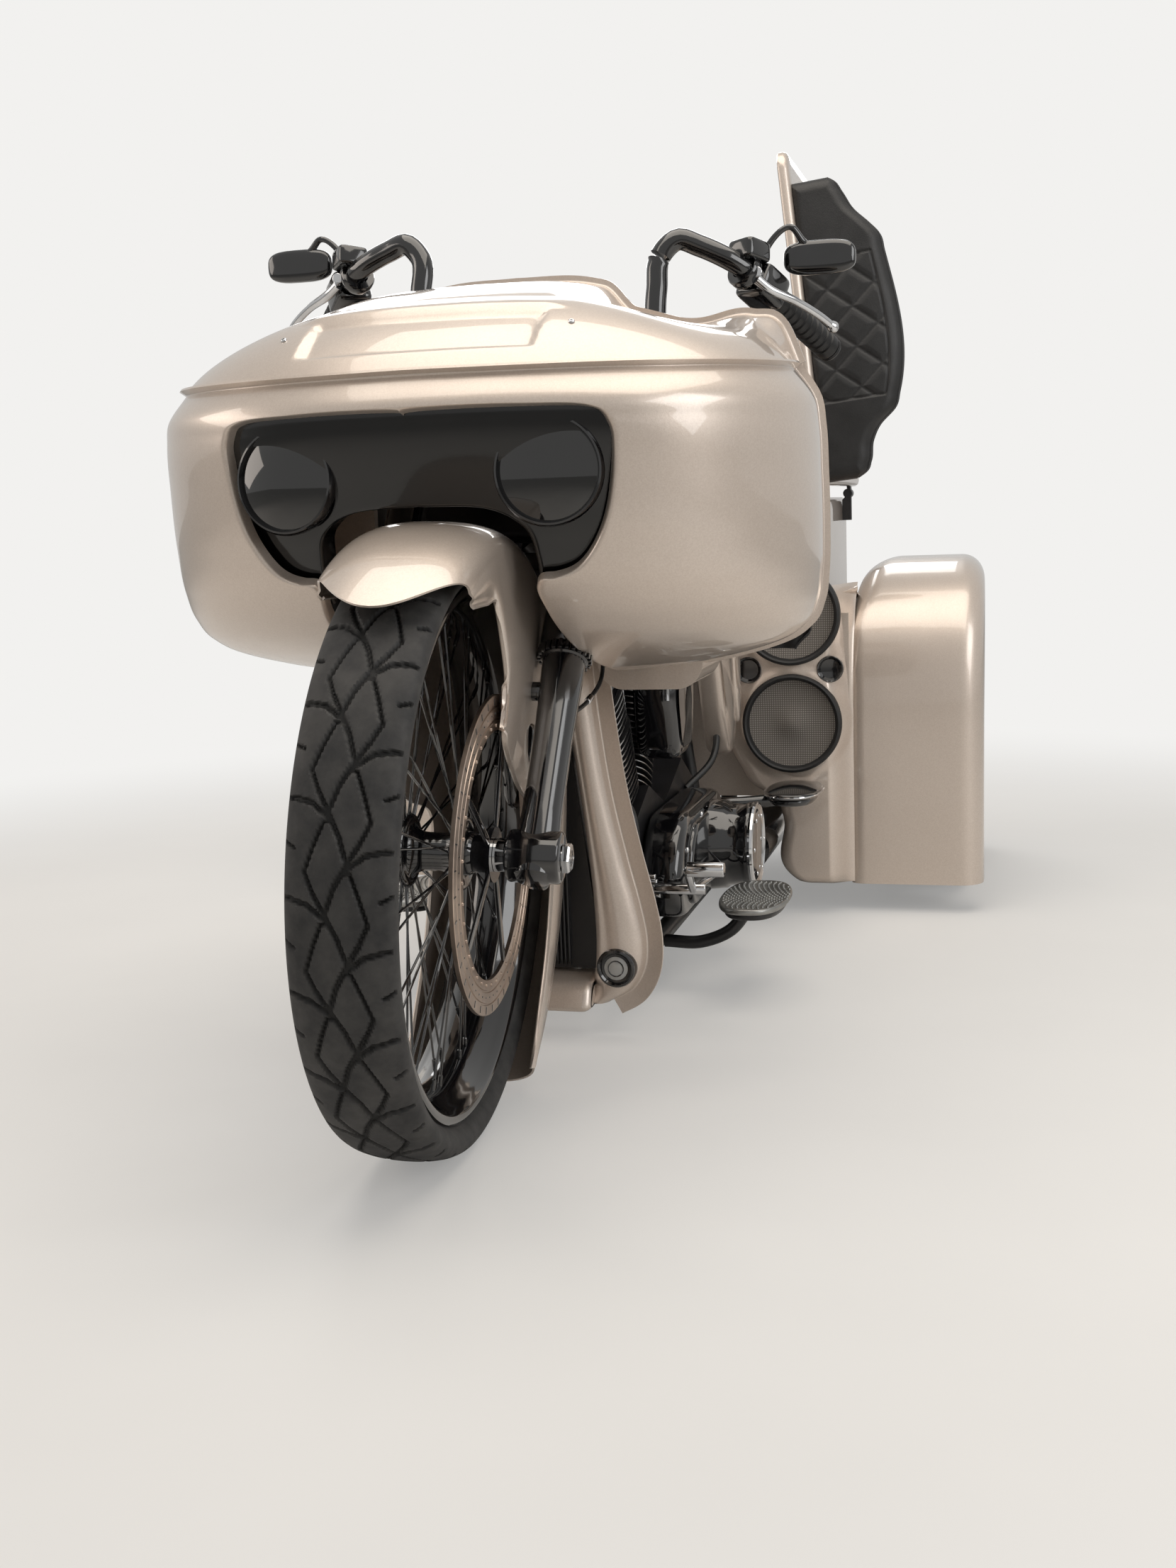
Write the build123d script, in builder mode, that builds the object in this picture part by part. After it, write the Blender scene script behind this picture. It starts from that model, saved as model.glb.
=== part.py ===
from build123d import *
import math
import os

# A three-wheeled touring motorcycle: one large spoked front wheel, a wide fairing held by the
# frame, an air-cooled V-twin, and a two-wheeled rear body with full fenders and a trunk whose
# lid, with the passenger backrest on it, stands open to the left.
# Millimetres. X is the rider's left, Y points to the rear, Z is up, the floor is Z = 0.
# "back" is a distance behind the front axle.

os.makedirs("parts", exist_ok=True)

# Whole machine
FRONT_AXLE_Y = -845.3
WHEELBASE = 1700.0
BODY_HALF_W = 650.0
RUNNING_GAP = 0.5
MOVING_GAP = 6.0

# Front wheel
FRONT_TYRE_R = 390.0
FRONT_TYRE_W = 128.0
FRONT_BEAD_R = 330.0
FRONT_RIM_W = 92.0
RIM_LIP = 6.0
LIP_H = 12.0
HUB_R = 30.0
HUB_HALF_L = 52.0
SPOKES_PER_SIDE = 30
SPOKE_HUB_R = 40.0
SPOKE_RIM_R = 309.0
SPOKE_W = 3.4
AXLE_R = 12.5
AXLE_BORE_R = 8.0
ROTOR_R = 205.0
ROTOR_INNER_R = 160.0
ROTOR_T = 6.0
ROTOR_X = 80.0

# Steering
RAKE = 36.0
STEER_REST = 4.5
STEER_LOCK = 10.0
AXLE_AHEAD = 60.0
FORK_X = 132.0
FORK_LEG_R = 30.0
FORK_TUBE_R = 25.0
STEM_R = 14.0
CLAMP_SPACE = 14.0
CLAMP_T = 30.0
HEAD_L = 136.0
FENDER_SPACE = 30.0
FENDER_R = FRONT_TYRE_R + FENDER_SPACE
FENDER_HALF_W = 92.0
FENDER_WALL = 6.0
FENDER_FRONT_ANGLE = 62.0
FENDER_REAR_ANGLE = -52.0
FENDER_STAY_H = 240.0
LOWER_CLAMP_H = FENDER_R + CLAMP_SPACE
UPPER_CLAMP_H = LOWER_CLAMP_H + CLAMP_T + HEAD_L
BAR_R = 17.0
GRIP_R = 21.0

# Frame
FRAME_R = 17.0
HEAD_R = 30.0
RAIL_X = 120.0
RAIL_Z = 84.0
ENGINE_SEAT_Z = 106.0
BACKBONE_X = 60.0
BACKBONE_Z = 690.0
SEAT_RAIL_Z = 600.0
CROSS_R = 14.0
STRUT_X = 250.0
STRUT_Z = 789.0
STRUT_FOOT_R = 20.0
RISER_AHEAD = 180.0
RISER_BACK = WHEELBASE - RISER_AHEAD

# Engine
CRANK = (800.0, 215.0)
VEE_HALF = 22.5
CYLINDER_FOOT_H = 120.0
CYLINDER_TOP_H = 330.0
FIN_COUNT = 10
FIN_PITCH = 20.0
FIN_T = 6.0
CASE_HALF_W = 105.0

# Fairing
SEAM_Z = 985.0
FAIRING_WALL = 7.0
FAIRING_BACK = 430.0
FAIRING_WIDEST = 335.0
MOUTH_HALF_W = 262.0
NOTCH_HALF_W = 152.0
LOCK_SPACE = 22.0
NOTCH_FOOT_HALF_W = FORK_X + FORK_LEG_R + LOCK_SPACE
LAMP_X = 173.0
LAMP_Z = 868.0
LAMP_R = 62.0

# Rear wheels
REAR_TYRE_R = 330.0
REAR_TYRE_W = 205.0
REAR_BEAD_R = 216.0
REAR_RIM_W = 180.0
WHEEL_INSET = 133.0
REAR_WHEEL_X = BODY_HALF_W - WHEEL_INSET
REAR_SPOKES = 10

# Rear body
TYRE_SPACE = 24.5
FENDER_INNER_X = REAR_WHEEL_X - REAR_TYRE_W / 2 - TYRE_SPACE
FENDER_AHEAD = 362.0
FENDER_BEHIND = 368.0
REAR_FENDER_FRONT = WHEELBASE - FENDER_AHEAD
REAR_FENDER_REAR = WHEELBASE + FENDER_BEHIND
REAR_FENDER_TOP = 752.0
FENDER_FOOT_Z = 55.0
FENDER_NOSE_R = 150.0
FENDER_TAIL_R = 210.0
FENDER_ROUND = 50.0
ARCH_R = 292.0
SKIN = 8.0
TRUNK_HALF_W = 320.0
TRUNK_AHEAD = 355.0
TRUNK_BEHIND = 330.0
TRUNK_FRONT = WHEELBASE - TRUNK_AHEAD
TRUNK_REAR = WHEELBASE + TRUNK_BEHIND
TRUNK_FLOOR = 420.0
TRUNK_SHOULDER = 740.0
TRUNK_RISE = 86.0
TRUNK_TOP = TRUNK_SHOULDER + TRUNK_RISE
LID_T = 22.0
LID_OPEN = 84.0
HINGE_R = 6.0
HINGE_FROM_END = 95.0
PAD_T = 70.0
PAD_HALF_L = 283.0
PAD_H = 156.0
PAD_X = 12.0
PANEL_T = 38.0
PANEL_FRONT = REAR_FENDER_FRONT - PANEL_T
SPEAKER_R = 90.0
PORT_R = 24.0

# Plate
PLATE_W = 205.0
PLATE_H = 150.0
PLATE_HOLE_R = 3.5
PLATE_HOLES_X = 177.8
PLATE_HOLES_Z = 120.65


def at(x, back, z):
    """A point given by its distance behind the front axle."""
    return Vector(x, FRONT_AXLE_Y + back, z)


def side_plane(x):
    """A plane facing the rider's left: local x runs to the rear from the front axle, local y is up."""
    return Plane(origin=at(x, 0, 0), x_dir=(0, 1, 0), z_dir=(1, 0, 0))


def front_plane(back):
    """A plane facing forward: local x is X, local y is up. A negative extrusion goes to the rear."""
    return Plane(origin=at(0, back, 0), x_dir=(1, 0, 0), z_dir=(0, -1, 0))


def level(z):
    """A level plane: local x is X, local y runs to the rear from the front axle."""
    return Plane(origin=at(0, 0, z), x_dir=(1, 0, 0), z_dir=(0, 0, 1))


def tube(points, radius, bend=20.0, mode=Mode.ADD):
    """Sweep a round bar along straight runs joined by bends."""
    with BuildLine() as path:
        if len(points) > 2:
            FilletPolyline(*points, radius=bend)
        else:
            Line(*points)
    with BuildSketch(Plane(origin=path.line @ 0, z_dir=path.line % 0)) as section:
        Circle(radius)
    sweep(sections=section.sketch, path=path.line, mode=mode)


# The steering stem, and how far it is turned as the machine stands
rake = math.radians(RAKE)
stem_dir = Vector(0, math.sin(rake), math.cos(rake))
stem_foot = at(0, AXLE_AHEAD * math.cos(rake), FRONT_TYRE_R - AXLE_AHEAD * math.sin(rake))
straight_stem = Plane(origin=stem_foot, x_dir=(1, 0, 0), z_dir=stem_dir)
stem = Plane(straight_stem.location * Rotation(0, 0, STEER_REST))
turn = stem.location * straight_stem.location.inverse()


def turned(x, back, z):
    """A point of the straight-ahead steering after it has been turned to its rest position."""
    return (turn * Location(at(x, back, z))).position


wheel_centre = turned(0, 0, FRONT_TYRE_R)
hub_plane = Plane(turn * Plane(origin=at(0, 0, FRONT_TYRE_R), x_dir=(1, 0, 0), z_dir=(0, -1, 0)).location)
hub_side = Plane(origin=wheel_centre, x_dir=-hub_plane.z_dir, z_dir=hub_plane.x_dir)
hub_axis = Axis(wheel_centre, hub_plane.x_dir)

# Front wheel: tyre, its section in straight runs as shares of its half width and height
FRONT_SECTION = ((0.89, 0.36), (1.0, 0.54), (1.0, 0.66), (0.90, 0.80), (0.66, 0.92), (0.34, 0.978), (0.10, 1.0))
bead = FRONT_RIM_W / 2
tread = FRONT_TYRE_W / 2
tyre_h = FRONT_TYRE_R - FRONT_BEAD_R
front_side = [(tread * across, FRONT_BEAD_R + tyre_h * height) for across, height in FRONT_SECTION]
with BuildPart() as front_tyre:
    with BuildSketch(hub_plane):
        with BuildLine():
            Polyline(
                (-bead, FRONT_BEAD_R + LIP_H), (-bead, FRONT_BEAD_R), (bead, FRONT_BEAD_R),
                (bead, FRONT_BEAD_R + LIP_H), *front_side, *[(-x, radius) for x, radius in reversed(front_side)],
                close=True,
            )
        make_face()
    revolve(axis=hub_axis)

# Front wheel: deep rim, hub and laced spokes
lip = bead + RIM_LIP
spoke_planes = []
for side in (-1, 1):
    for number in range(SPOKES_PER_SIDE):
        lean = 9.0 if number % 2 else -9.0
        hub_angle = math.radians(number * 360.0 / SPOKES_PER_SIDE + 3.0 * side)
        rim_angle = hub_angle + math.radians(lean)
        inner = hub_side.from_local_coords(
            Vector(SPOKE_HUB_R * math.cos(hub_angle), SPOKE_HUB_R * math.sin(hub_angle), 36 * side))
        outer = hub_side.from_local_coords(
            Vector(SPOKE_RIM_R * math.cos(rim_angle), SPOKE_RIM_R * math.sin(rim_angle), 12 * side))
        spoke_planes.append(Plane(origin=inner, z_dir=outer - inner))
spoke_length = (outer - inner).length
with BuildPart() as front_rim:
    with BuildSketch(hub_plane):
        with BuildLine():
            Polyline(
                (-lip, FRONT_BEAD_R + LIP_H), (-bead, FRONT_BEAD_R + LIP_H), (-bead, FRONT_BEAD_R),
                (-20, FRONT_BEAD_R - 8), (20, FRONT_BEAD_R - 8), (bead, FRONT_BEAD_R),
                (bead, FRONT_BEAD_R + LIP_H), (lip, FRONT_BEAD_R + LIP_H), (lip, FRONT_BEAD_R - 6),
                (24, SPOKE_RIM_R - 5), (-24, SPOKE_RIM_R - 5), (-lip, FRONT_BEAD_R - 6),
                close=True,
            )
        make_face()
        with BuildLine():
            Polyline(
                (-HUB_HALF_L, AXLE_R + RUNNING_GAP), (HUB_HALF_L, AXLE_R + RUNNING_GAP), (HUB_HALF_L, HUB_R - 6),
                (40, HUB_R), (40, SPOKE_HUB_R + 8), (32, SPOKE_HUB_R + 8), (32, HUB_R),
                (-32, HUB_R), (-32, SPOKE_HUB_R + 8), (-40, SPOKE_HUB_R + 8), (-40, HUB_R),
                (-HUB_HALF_L, HUB_R - 6),
                close=True,
            )
        make_face()
    revolve(axis=hub_axis)
    with BuildSketch(*spoke_planes):
        Rectangle(SPOKE_W, SPOKE_W)
    extrude(amount=spoke_length)

# Front wheel: brake ring on thin arms
with BuildPart() as brake_rotor:
    with BuildSketch(hub_side.offset(ROTOR_X - ROTOR_T)):
        Circle(ROTOR_R)
        Circle(ROTOR_INNER_R, mode=Mode.SUBTRACT)
        with PolarLocations(100, 5):
            Rectangle(140, 12)
        Circle(34)
        Circle(AXLE_R + RUNNING_GAP, mode=Mode.SUBTRACT)
    extrude(amount=ROTOR_T)
    with BuildSketch(hub_side.offset(HUB_HALF_L)):
        Circle(22)
        Circle(AXLE_R + RUNNING_GAP, mode=Mode.SUBTRACT)
    extrude(amount=ROTOR_X - ROTOR_T - HUB_HALF_L)

# Steering: fork lower legs with the axle clamps
leg_places = ((-FORK_X, -AXLE_AHEAD), (FORK_X, -AXLE_AHEAD))
boss_half = FORK_LEG_R + 6
with BuildPart() as fork_legs:
    with BuildSketch(stem.offset(-34)):
        with Locations(*leg_places):
            Circle(FORK_LEG_R)
    extrude(amount=330)
    with BuildSketch(stem.offset(-28)):
        with Locations(*leg_places):
            with Locations((0, -30)):
                Circle(17)
    extrude(amount=90)
    with BuildSketch(hub_side.offset(-FORK_X - boss_half), hub_side.offset(FORK_X - boss_half)):
        Circle(34)
    extrude(amount=2 * boss_half)
    with BuildSketch(hub_side.offset(-FORK_X - 60)):
        Circle(AXLE_R)
    extrude(amount=2 * FORK_X + 120, mode=Mode.SUBTRACT)

# Steering: upper tubes with their covers
with BuildPart() as fork_tubes:
    with BuildSketch(stem.offset(296)):
        with Locations(*leg_places):
            Circle(FORK_LEG_R + 4)
    extrude(amount=34)
    with BuildSketch(stem.offset(330)):
        with Locations(*leg_places):
            Circle(FORK_TUBE_R)
    extrude(amount=UPPER_CLAMP_H + CLAMP_T + 12 - 330)

# Steering: the two clamps and the stem
with BuildPart() as triple_clamps:
    with BuildSketch(stem.offset(LOWER_CLAMP_H), stem.offset(UPPER_CLAMP_H)):
        with Locations(*leg_places):
            Circle(FORK_TUBE_R + 13)
        Circle(34)
        with Locations((0, 22 - AXLE_AHEAD)):
            Rectangle(2 * FORK_X, 44)
        with Locations(*leg_places):
            Circle(FORK_TUBE_R, mode=Mode.SUBTRACT)
    extrude(amount=CLAMP_T)
    with BuildSketch(stem.offset(LOWER_CLAMP_H + CLAMP_T)):
        Circle(STEM_R)
    extrude(amount=UPPER_CLAMP_H - LOWER_CLAMP_H - CLAMP_T)

# Steering: front axle, hollow for a stand pin
axle_half = FORK_X + boss_half + 10
with BuildPart() as front_axle:
    with BuildSketch(hub_side.offset(-axle_half)):
        Circle(AXLE_R)
    extrude(amount=2 * axle_half)
    with BuildSketch(hub_side.offset(-axle_half), hub_side.offset(axle_half - 10)):
        Circle(20)
    extrude(amount=10)
    with BuildSketch(hub_side.offset(-axle_half)):
        Circle(AXLE_BORE_R)
    extrude(amount=2 * axle_half, mode=Mode.SUBTRACT)

# Steering: brake caliper over the rear upper part of the ring, carried by the left leg
with BuildPart() as brake_caliper:
    with BuildSketch(hub_side.offset(ROTOR_X - ROTOR_T / 2 - 25)):
        with BuildLine():
            Polyline((118, 20), (226, 20), (214, 100), (160, 150), (66, 150), (66, 118), close=True)
        make_face()
    extrude(amount=50)
    with BuildSketch(hub_side.offset(ROTOR_X - ROTOR_T - 3)):
        Circle(ROTOR_R + 4)
    extrude(amount=ROTOR_T + 6, mode=Mode.SUBTRACT)
    with BuildSketch(stem.offset(-40)):
        with Locations((FORK_X, -AXLE_AHEAD)):
            Circle(FORK_LEG_R)
    extrude(amount=336, mode=Mode.SUBTRACT)

# Steering: front fender, a round-backed band that wraps down behind the tyre, with side skirts
front_cut = math.radians(180 - FENDER_FRONT_ANGLE)
fender_lip = Plane(
    origin=wheel_centre,
    x_dir=hub_plane.x_dir,
    z_dir=hub_side.x_dir * math.sin(front_cut) - hub_side.y_dir * math.cos(front_cut),
)
with BuildPart() as front_fender:
    with BuildSketch(fender_lip):
        with BuildLine():
            wide = FENDER_HALF_W
            slim = FENDER_HALF_W - FENDER_WALL
            Line((-wide, FENDER_R - 48), (-wide, FENDER_R - 40))
            ThreePointArc((-wide, FENDER_R - 40), (0, FENDER_R), (wide, FENDER_R - 40))
            Polyline((wide, FENDER_R - 40), (wide, FENDER_R - 48), (slim, FENDER_R - 48), (slim, FENDER_R - 42))
            ThreePointArc((slim, FENDER_R - 42), (0, FENDER_R - FENDER_WALL), (-slim, FENDER_R - 42))
            Polyline((-slim, FENDER_R - 42), (-slim, FENDER_R - 48), (-wide, FENDER_R - 48))
        make_face()
    revolve(axis=hub_axis, revolution_arc=180 - FENDER_FRONT_ANGLE - FENDER_REAR_ANGLE)
    with BuildSketch(hub_side.offset(-FENDER_HALF_W), hub_side.offset(FENDER_HALF_W - FENDER_WALL)):
        with BuildLine():
            Polyline((-110, FENDER_R - 48), (-62, 172), (345, 172), (345, FENDER_R - 48), close=True)
        make_face()
        Circle(FENDER_R - 42, mode=Mode.INTERSECT)
    extrude(amount=FENDER_WALL)
    for side in (-1, 1):
        with BuildSketch(hub_side.offset(FENDER_HALF_W * side)):
            with Locations((FENDER_STAY_H * math.sin(rake), FENDER_STAY_H * math.cos(rake))):
                Circle(14)
        extrude(amount=20 * side)
    with BuildSketch(stem.offset(-34)):
        with Locations(*leg_places):
            Circle(FORK_LEG_R)
    extrude(amount=330, mode=Mode.SUBTRACT)

# Steering: handlebar, each side rising behind the fairing and running out to its grip
bar_elbow = {side: turned(300 * side, 630, 1196) for side in (-1, 1)}
bar_end = {side: turned(436 * side, 808, 1082) for side in (-1, 1)}
with BuildPart() as handlebar:
    for side in (-1, 1):
        clamp_top = UPPER_CLAMP_H + CLAMP_T
        tube([
            stem.from_local_coords(Vector(55 * side, 0, clamp_top)),
            stem.from_local_coords(Vector(55 * side, 0, clamp_top + 60)),
            turned(185 * side, 540, 980),
            turned(185 * side, 595, 1228),
            bar_elbow[side],
            bar_end[side],
        ], BAR_R, 24)


def switch_block(side, mode=Mode.ADD):
    """The switch and reservoir block on the bar."""
    along = (bar_end[side] - bar_elbow[side]).normalized()
    with BuildSketch(Plane(origin=bar_elbow[side] + along * 40, z_dir=along)) as block:
        RectangleRounded(54, 60, 10)
    extrude(block.sketch, amount=60, mode=mode)


def hand_controls(side):
    """The grip, the switch block and the lever of one hand."""
    along = (bar_end[side] - bar_elbow[side]).normalized()
    block_start = bar_elbow[side] + along * 40
    grip_start = bar_elbow[side] + along * 100
    grip_length = (bar_end[side] - grip_start).length
    lever_root = block_start + along * 34 + Vector(0, -52, 6)
    lever_tip = bar_end[side] + Vector(20 * side, -78, 22)
    switch_block(side)
    with BuildSketch(Plane(origin=grip_start, z_dir=along)) as grip:
        Circle(GRIP_R)
    extrude(grip.sketch, amount=grip_length)
    tube([block_start + along * 34, lever_root], 11)
    tube([lever_root - along * 8, lever_tip], 8)
    tube([bar_elbow[side], bar_end[side] + along], BAR_R, mode=Mode.SUBTRACT)


with BuildPart() as left_controls:
    hand_controls(1)
with BuildPart() as right_controls:
    hand_controls(-1)

# Steering: mirrors on curved stalks
with BuildPart() as mirrors:
    for side in (-1, 1):
        stalk_foot = bar_elbow[side] + (bar_end[side] - bar_elbow[side]).normalized() * 70 + Vector(0, 0, 20)
        head = turned(424 * side, 690, 1210)
        tube([stalk_foot, stalk_foot + Vector(0, -4, 45), head], 6, 12)
        switch_block(side, Mode.SUBTRACT)
        with BuildSketch(Plane(origin=head + Vector(0, -10, 0), x_dir=(1, 0, 0), z_dir=(0, 1, 0))):
            Ellipse(56, 27)
        extrude(amount=22)

# Frame: head tube, backbone, down tubes, rails and the fairing struts
head_low = LOWER_CLAMP_H + CLAMP_T + RUNNING_GAP
head_high = UPPER_CLAMP_H - RUNNING_GAP
with BuildPart() as frame_tubes:
    with BuildSketch(straight_stem.offset(head_low)):
        Circle(HEAD_R)
    extrude(amount=head_high - head_low)
    for side in (-1, 1):
        tube([at(20 * side, 386, 778), at(BACKBONE_X * side, 540, BACKBONE_Z), at(BACKBONE_X * side, 940, BACKBONE_Z),
              at(BACKBONE_X * side, 1080, SEAT_RAIL_Z), at(BACKBONE_X * side, TRUNK_FRONT, SEAT_RAIL_Z)], FRAME_R, 50)
        tube([at(16 * side, 372, 745), at(60 * side, 548, 612), at(75 * side, 560, 400), at(RAIL_X * side, 606, RAIL_Z),
              at(RAIL_X * side, RISER_BACK - 70, RAIL_Z), at(RAIL_X * side, RISER_BACK, 300),
              at(RAIL_X * side, RISER_BACK, TRUNK_FLOOR)], FRAME_R, 40)
        tube([at(RAIL_X * side, 1230, RAIL_Z), at(BACKBONE_X * side, 1180, SEAT_RAIL_Z)], CROSS_R)
        tube([at(24 * side, 424, 756), at(STRUT_X * side, FAIRING_BACK + 18, STRUT_Z)], 12)
        with BuildSketch(front_plane(FAIRING_BACK)):
            with Locations((STRUT_X * side, STRUT_Z)):
                Circle(STRUT_FOOT_R)
        extrude(amount=-34)
        tube([at(76 * side, 558, 440), at(76 * side, 515, 440)], 10)
        tube([at(RAIL_X * side, 640, RAIL_Z), at(RAIL_X * side, 515, RAIL_Z)], 10)
    for back, height, half in ((700, RAIL_Z, RAIL_X), (1130, RAIL_Z, RAIL_X), (1180, SEAT_RAIL_Z, BACKBONE_X)):
        tube([at(-half, back, height), at(half, back, height)], CROSS_R)
    with BuildSketch(level(RAIL_Z)):
        with Locations((0, 700), (0, 1130)):
            Rectangle(160, 44)
    extrude(amount=ENGINE_SEAT_Z - RAIL_Z)
    with BuildSketch(straight_stem.offset(head_low - 60)):
        Circle(STEM_R + RUNNING_GAP)
    extrude(amount=head_high - head_low + 120, mode=Mode.SUBTRACT)

# Engine: crankcase and gearbox as one plain mass
vee = math.radians(VEE_HALF)
crank_back, crank_z = CRANK
deck_back = CYLINDER_FOOT_H * math.sin(vee) + 75 * math.cos(vee)
deck_z = crank_z + CYLINDER_FOOT_H * math.cos(vee) - 75 * math.sin(vee)
peak_z = crank_z + CYLINDER_FOOT_H / math.cos(vee)
with BuildPart() as engine_cases:
    with BuildSketch(side_plane(-CASE_HALF_W)):
        with BuildLine():
            Polyline(
                (660, ENGINE_SEAT_Z), (1160, ENGINE_SEAT_Z), (1178, 300), (1080, 352), (955, 306),
                (crank_back + deck_back, deck_z),
                (crank_back, peak_z), (crank_back - deck_back, deck_z), (652, 250), close=True)
        make_face()
    extrude(amount=2 * CASE_HALF_W)


def finned_cylinder(lean):
    """One cylinder with its fins and head, leaning to the rear by lean degrees and cut at the vee's middle."""
    up = Vector(0, math.sin(math.radians(lean)), math.cos(math.radians(lean)))
    base = Plane(origin=at(0, crank_back, crank_z), x_dir=(1, 0, 0), z_dir=up)
    with BuildSketch(base.offset(CYLINDER_FOOT_H)) as barrel:
        Circle(58)
    extrude(barrel.sketch, amount=CYLINDER_TOP_H - CYLINDER_FOOT_H)
    with BuildSketch(*[base.offset(CYLINDER_FOOT_H + 12 + FIN_PITCH * row) for row in range(FIN_COUNT)]) as fins:
        RectangleRounded(190, 172, 50)
    extrude(fins.sketch, amount=FIN_T)
    with BuildSketch(base.offset(CYLINDER_TOP_H)) as head:
        RectangleRounded(176, 150, 30)
    extrude(head.sketch, amount=46)
    way = 1 if lean > 0 else -1
    with BuildSketch(front_plane(crank_back + 2 * way)) as middle:
        with Locations((0, 400)):
            Rectangle(400, 600)
    extrude(middle.sketch, amount=200 * way, mode=Mode.SUBTRACT)


with BuildPart() as front_cylinder:
    finned_cylinder(-VEE_HALF)
with BuildPart() as rear_cylinder:
    finned_cylinder(VEE_HALF)

# Engine: primary drive cover on the left
with BuildPart() as primary_cover:
    with BuildSketch(side_plane(CASE_HALF_W)):
        with BuildLine():
            Polyline((700, 128), (1120, 128), (1150, 220), (1090, 300), (760, 300), (690, 220), close=True)
        make_face()
        fillet(vertices(), 34)
    extrude(amount=75)
    with BuildSketch(side_plane(CASE_HALF_W + 75)):
        with Locations((960, 212)):
            Circle(70)
    extrude(amount=80)
    with BuildSketch(side_plane(CASE_HALF_W + 155)):
        with Locations((960, 212)):
            Circle(66)
    extrude(amount=8)

# Engine: air cleaner in the vee on the right
AIR_DRUM_X = 104.0
HEAD_HALF_W = 88.0
with BuildPart() as air_cleaner:
    with BuildSketch(side_plane(-AIR_DRUM_X)):
        with Locations((crank_back, 510)):
            Circle(98)
    extrude(amount=-56)
    with BuildSketch(side_plane(-AIR_DRUM_X)):
        with Locations((crank_back - 90, 550), (crank_back + 90, 550)):
            Circle(9)
    extrude(amount=AIR_DRUM_X - HEAD_HALF_W)

# Engine: exhaust headers and the two silencers
SILENCER_X = 206.0
SILENCER_Z = 158.0
SILENCER_R = 46.0
SILENCER_FRONT = 1180.0
PORT_Z = 538.0
with BuildPart() as exhaust:
    tube([at(-HEAD_HALF_W, 666, PORT_Z), at(-150, 666, PORT_Z), at(-190, 700, 300),
          at(-SILENCER_X, 900, SILENCER_Z), at(-SILENCER_X, SILENCER_FRONT, SILENCER_Z)], 20, 50)
    tube([at(-HEAD_HALF_W, 934, PORT_Z), at(-150, 934, PORT_Z), at(-SILENCER_X, 1000, 300),
          at(-SILENCER_X, 1130, SILENCER_Z + 8), at(-SILENCER_X, SILENCER_FRONT, SILENCER_Z + 8)], 18, 40)
    with BuildSketch(front_plane(SILENCER_FRONT)):
        with Locations((-SILENCER_X, SILENCER_Z), (SILENCER_X, SILENCER_Z)):
            Circle(SILENCER_R)
    extrude(amount=SILENCER_FRONT - TRUNK_REAR)
    with BuildSketch(front_plane(TRUNK_REAR)):
        with Locations((-SILENCER_X, SILENCER_Z), (SILENCER_X, SILENCER_Z)):
            Circle(SILENCER_R - 8)
    extrude(amount=60, mode=Mode.SUBTRACT)
    tube([at(-SILENCER_X, 1290, SILENCER_Z), at(SILENCER_X, 1290, SILENCER_Z)], 18)

# Fuel tank over the backbone
TANK_BOTTOM = BACKBONE_Z + FRAME_R
TANK_ROUND = 26.0
TANK = (
    # back, top, half width
    (556, 786, 92),
    (610, 836, 130),
    (690, 862, 150),
    (840, 852, 150),
    (925, 812, 124),
    (984, 765, 92),
)
with BuildPart() as fuel_tank:
    for back, top, half in TANK:
        with BuildSketch(front_plane(back)):
            with Locations((0, (TANK_BOTTOM + top) / 2)):
                RectangleRounded(2 * half, top - TANK_BOTTOM, TANK_ROUND)
    loft(ruled=True)

# Seat: the rider's bucket and the raised pillion
PILLION_Z = 776.0
seat_rear = TRUNK_FRONT - MOVING_GAP
with BuildPart() as seat:
    with BuildSketch(side_plane(-165)):
        with BuildLine():
            Line((990, TANK_BOTTOM + 4), (996, 748))
            ThreePointArc((996, 748), (1076, 706), (1160, 744))
            ThreePointArc((1160, 744), (1190, 768), (1230, PILLION_Z))
            Polyline((1230, PILLION_Z), (seat_rear, PILLION_Z - 4), (seat_rear, SEAT_RAIL_Z + FRAME_R),
                     (1120, SEAT_RAIL_Z + FRAME_R), (1040, 690), (990, TANK_BOTTOM + 4))
        make_face()
    extrude(amount=330)

# Fairing: level cuts from the bottom edge to the seam and on to the top of the cap
SHELL_CUTS = (
    # z, half width, nose
    (600, 292, 258),
    (616, 362, 202),
    (650, 440, 112),
    (720, 462, 22),
    (860, 463, -26),
    (945, 456, -38),
    (SEAM_Z, 428, -16),
)
CAP_CUTS = (
    # z, half width, nose
    (SEAM_Z, 428, -16),
    (1030, 414, 22),
    (1075, 372, 90),
    (1110, 236, 190),
    (1146, 112, 312),
)
FRONT_SHARE = 0.566
CORNER_SHARE = 0.864


def on_cut(half, nose, share):
    """A point of a level cut at a share of its half width, on the rounded wedge from nose to widest place."""
    return half * share, FAIRING_WIDEST - (FAIRING_WIDEST - nose) * math.sqrt(1 - share ** 2.7)


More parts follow.
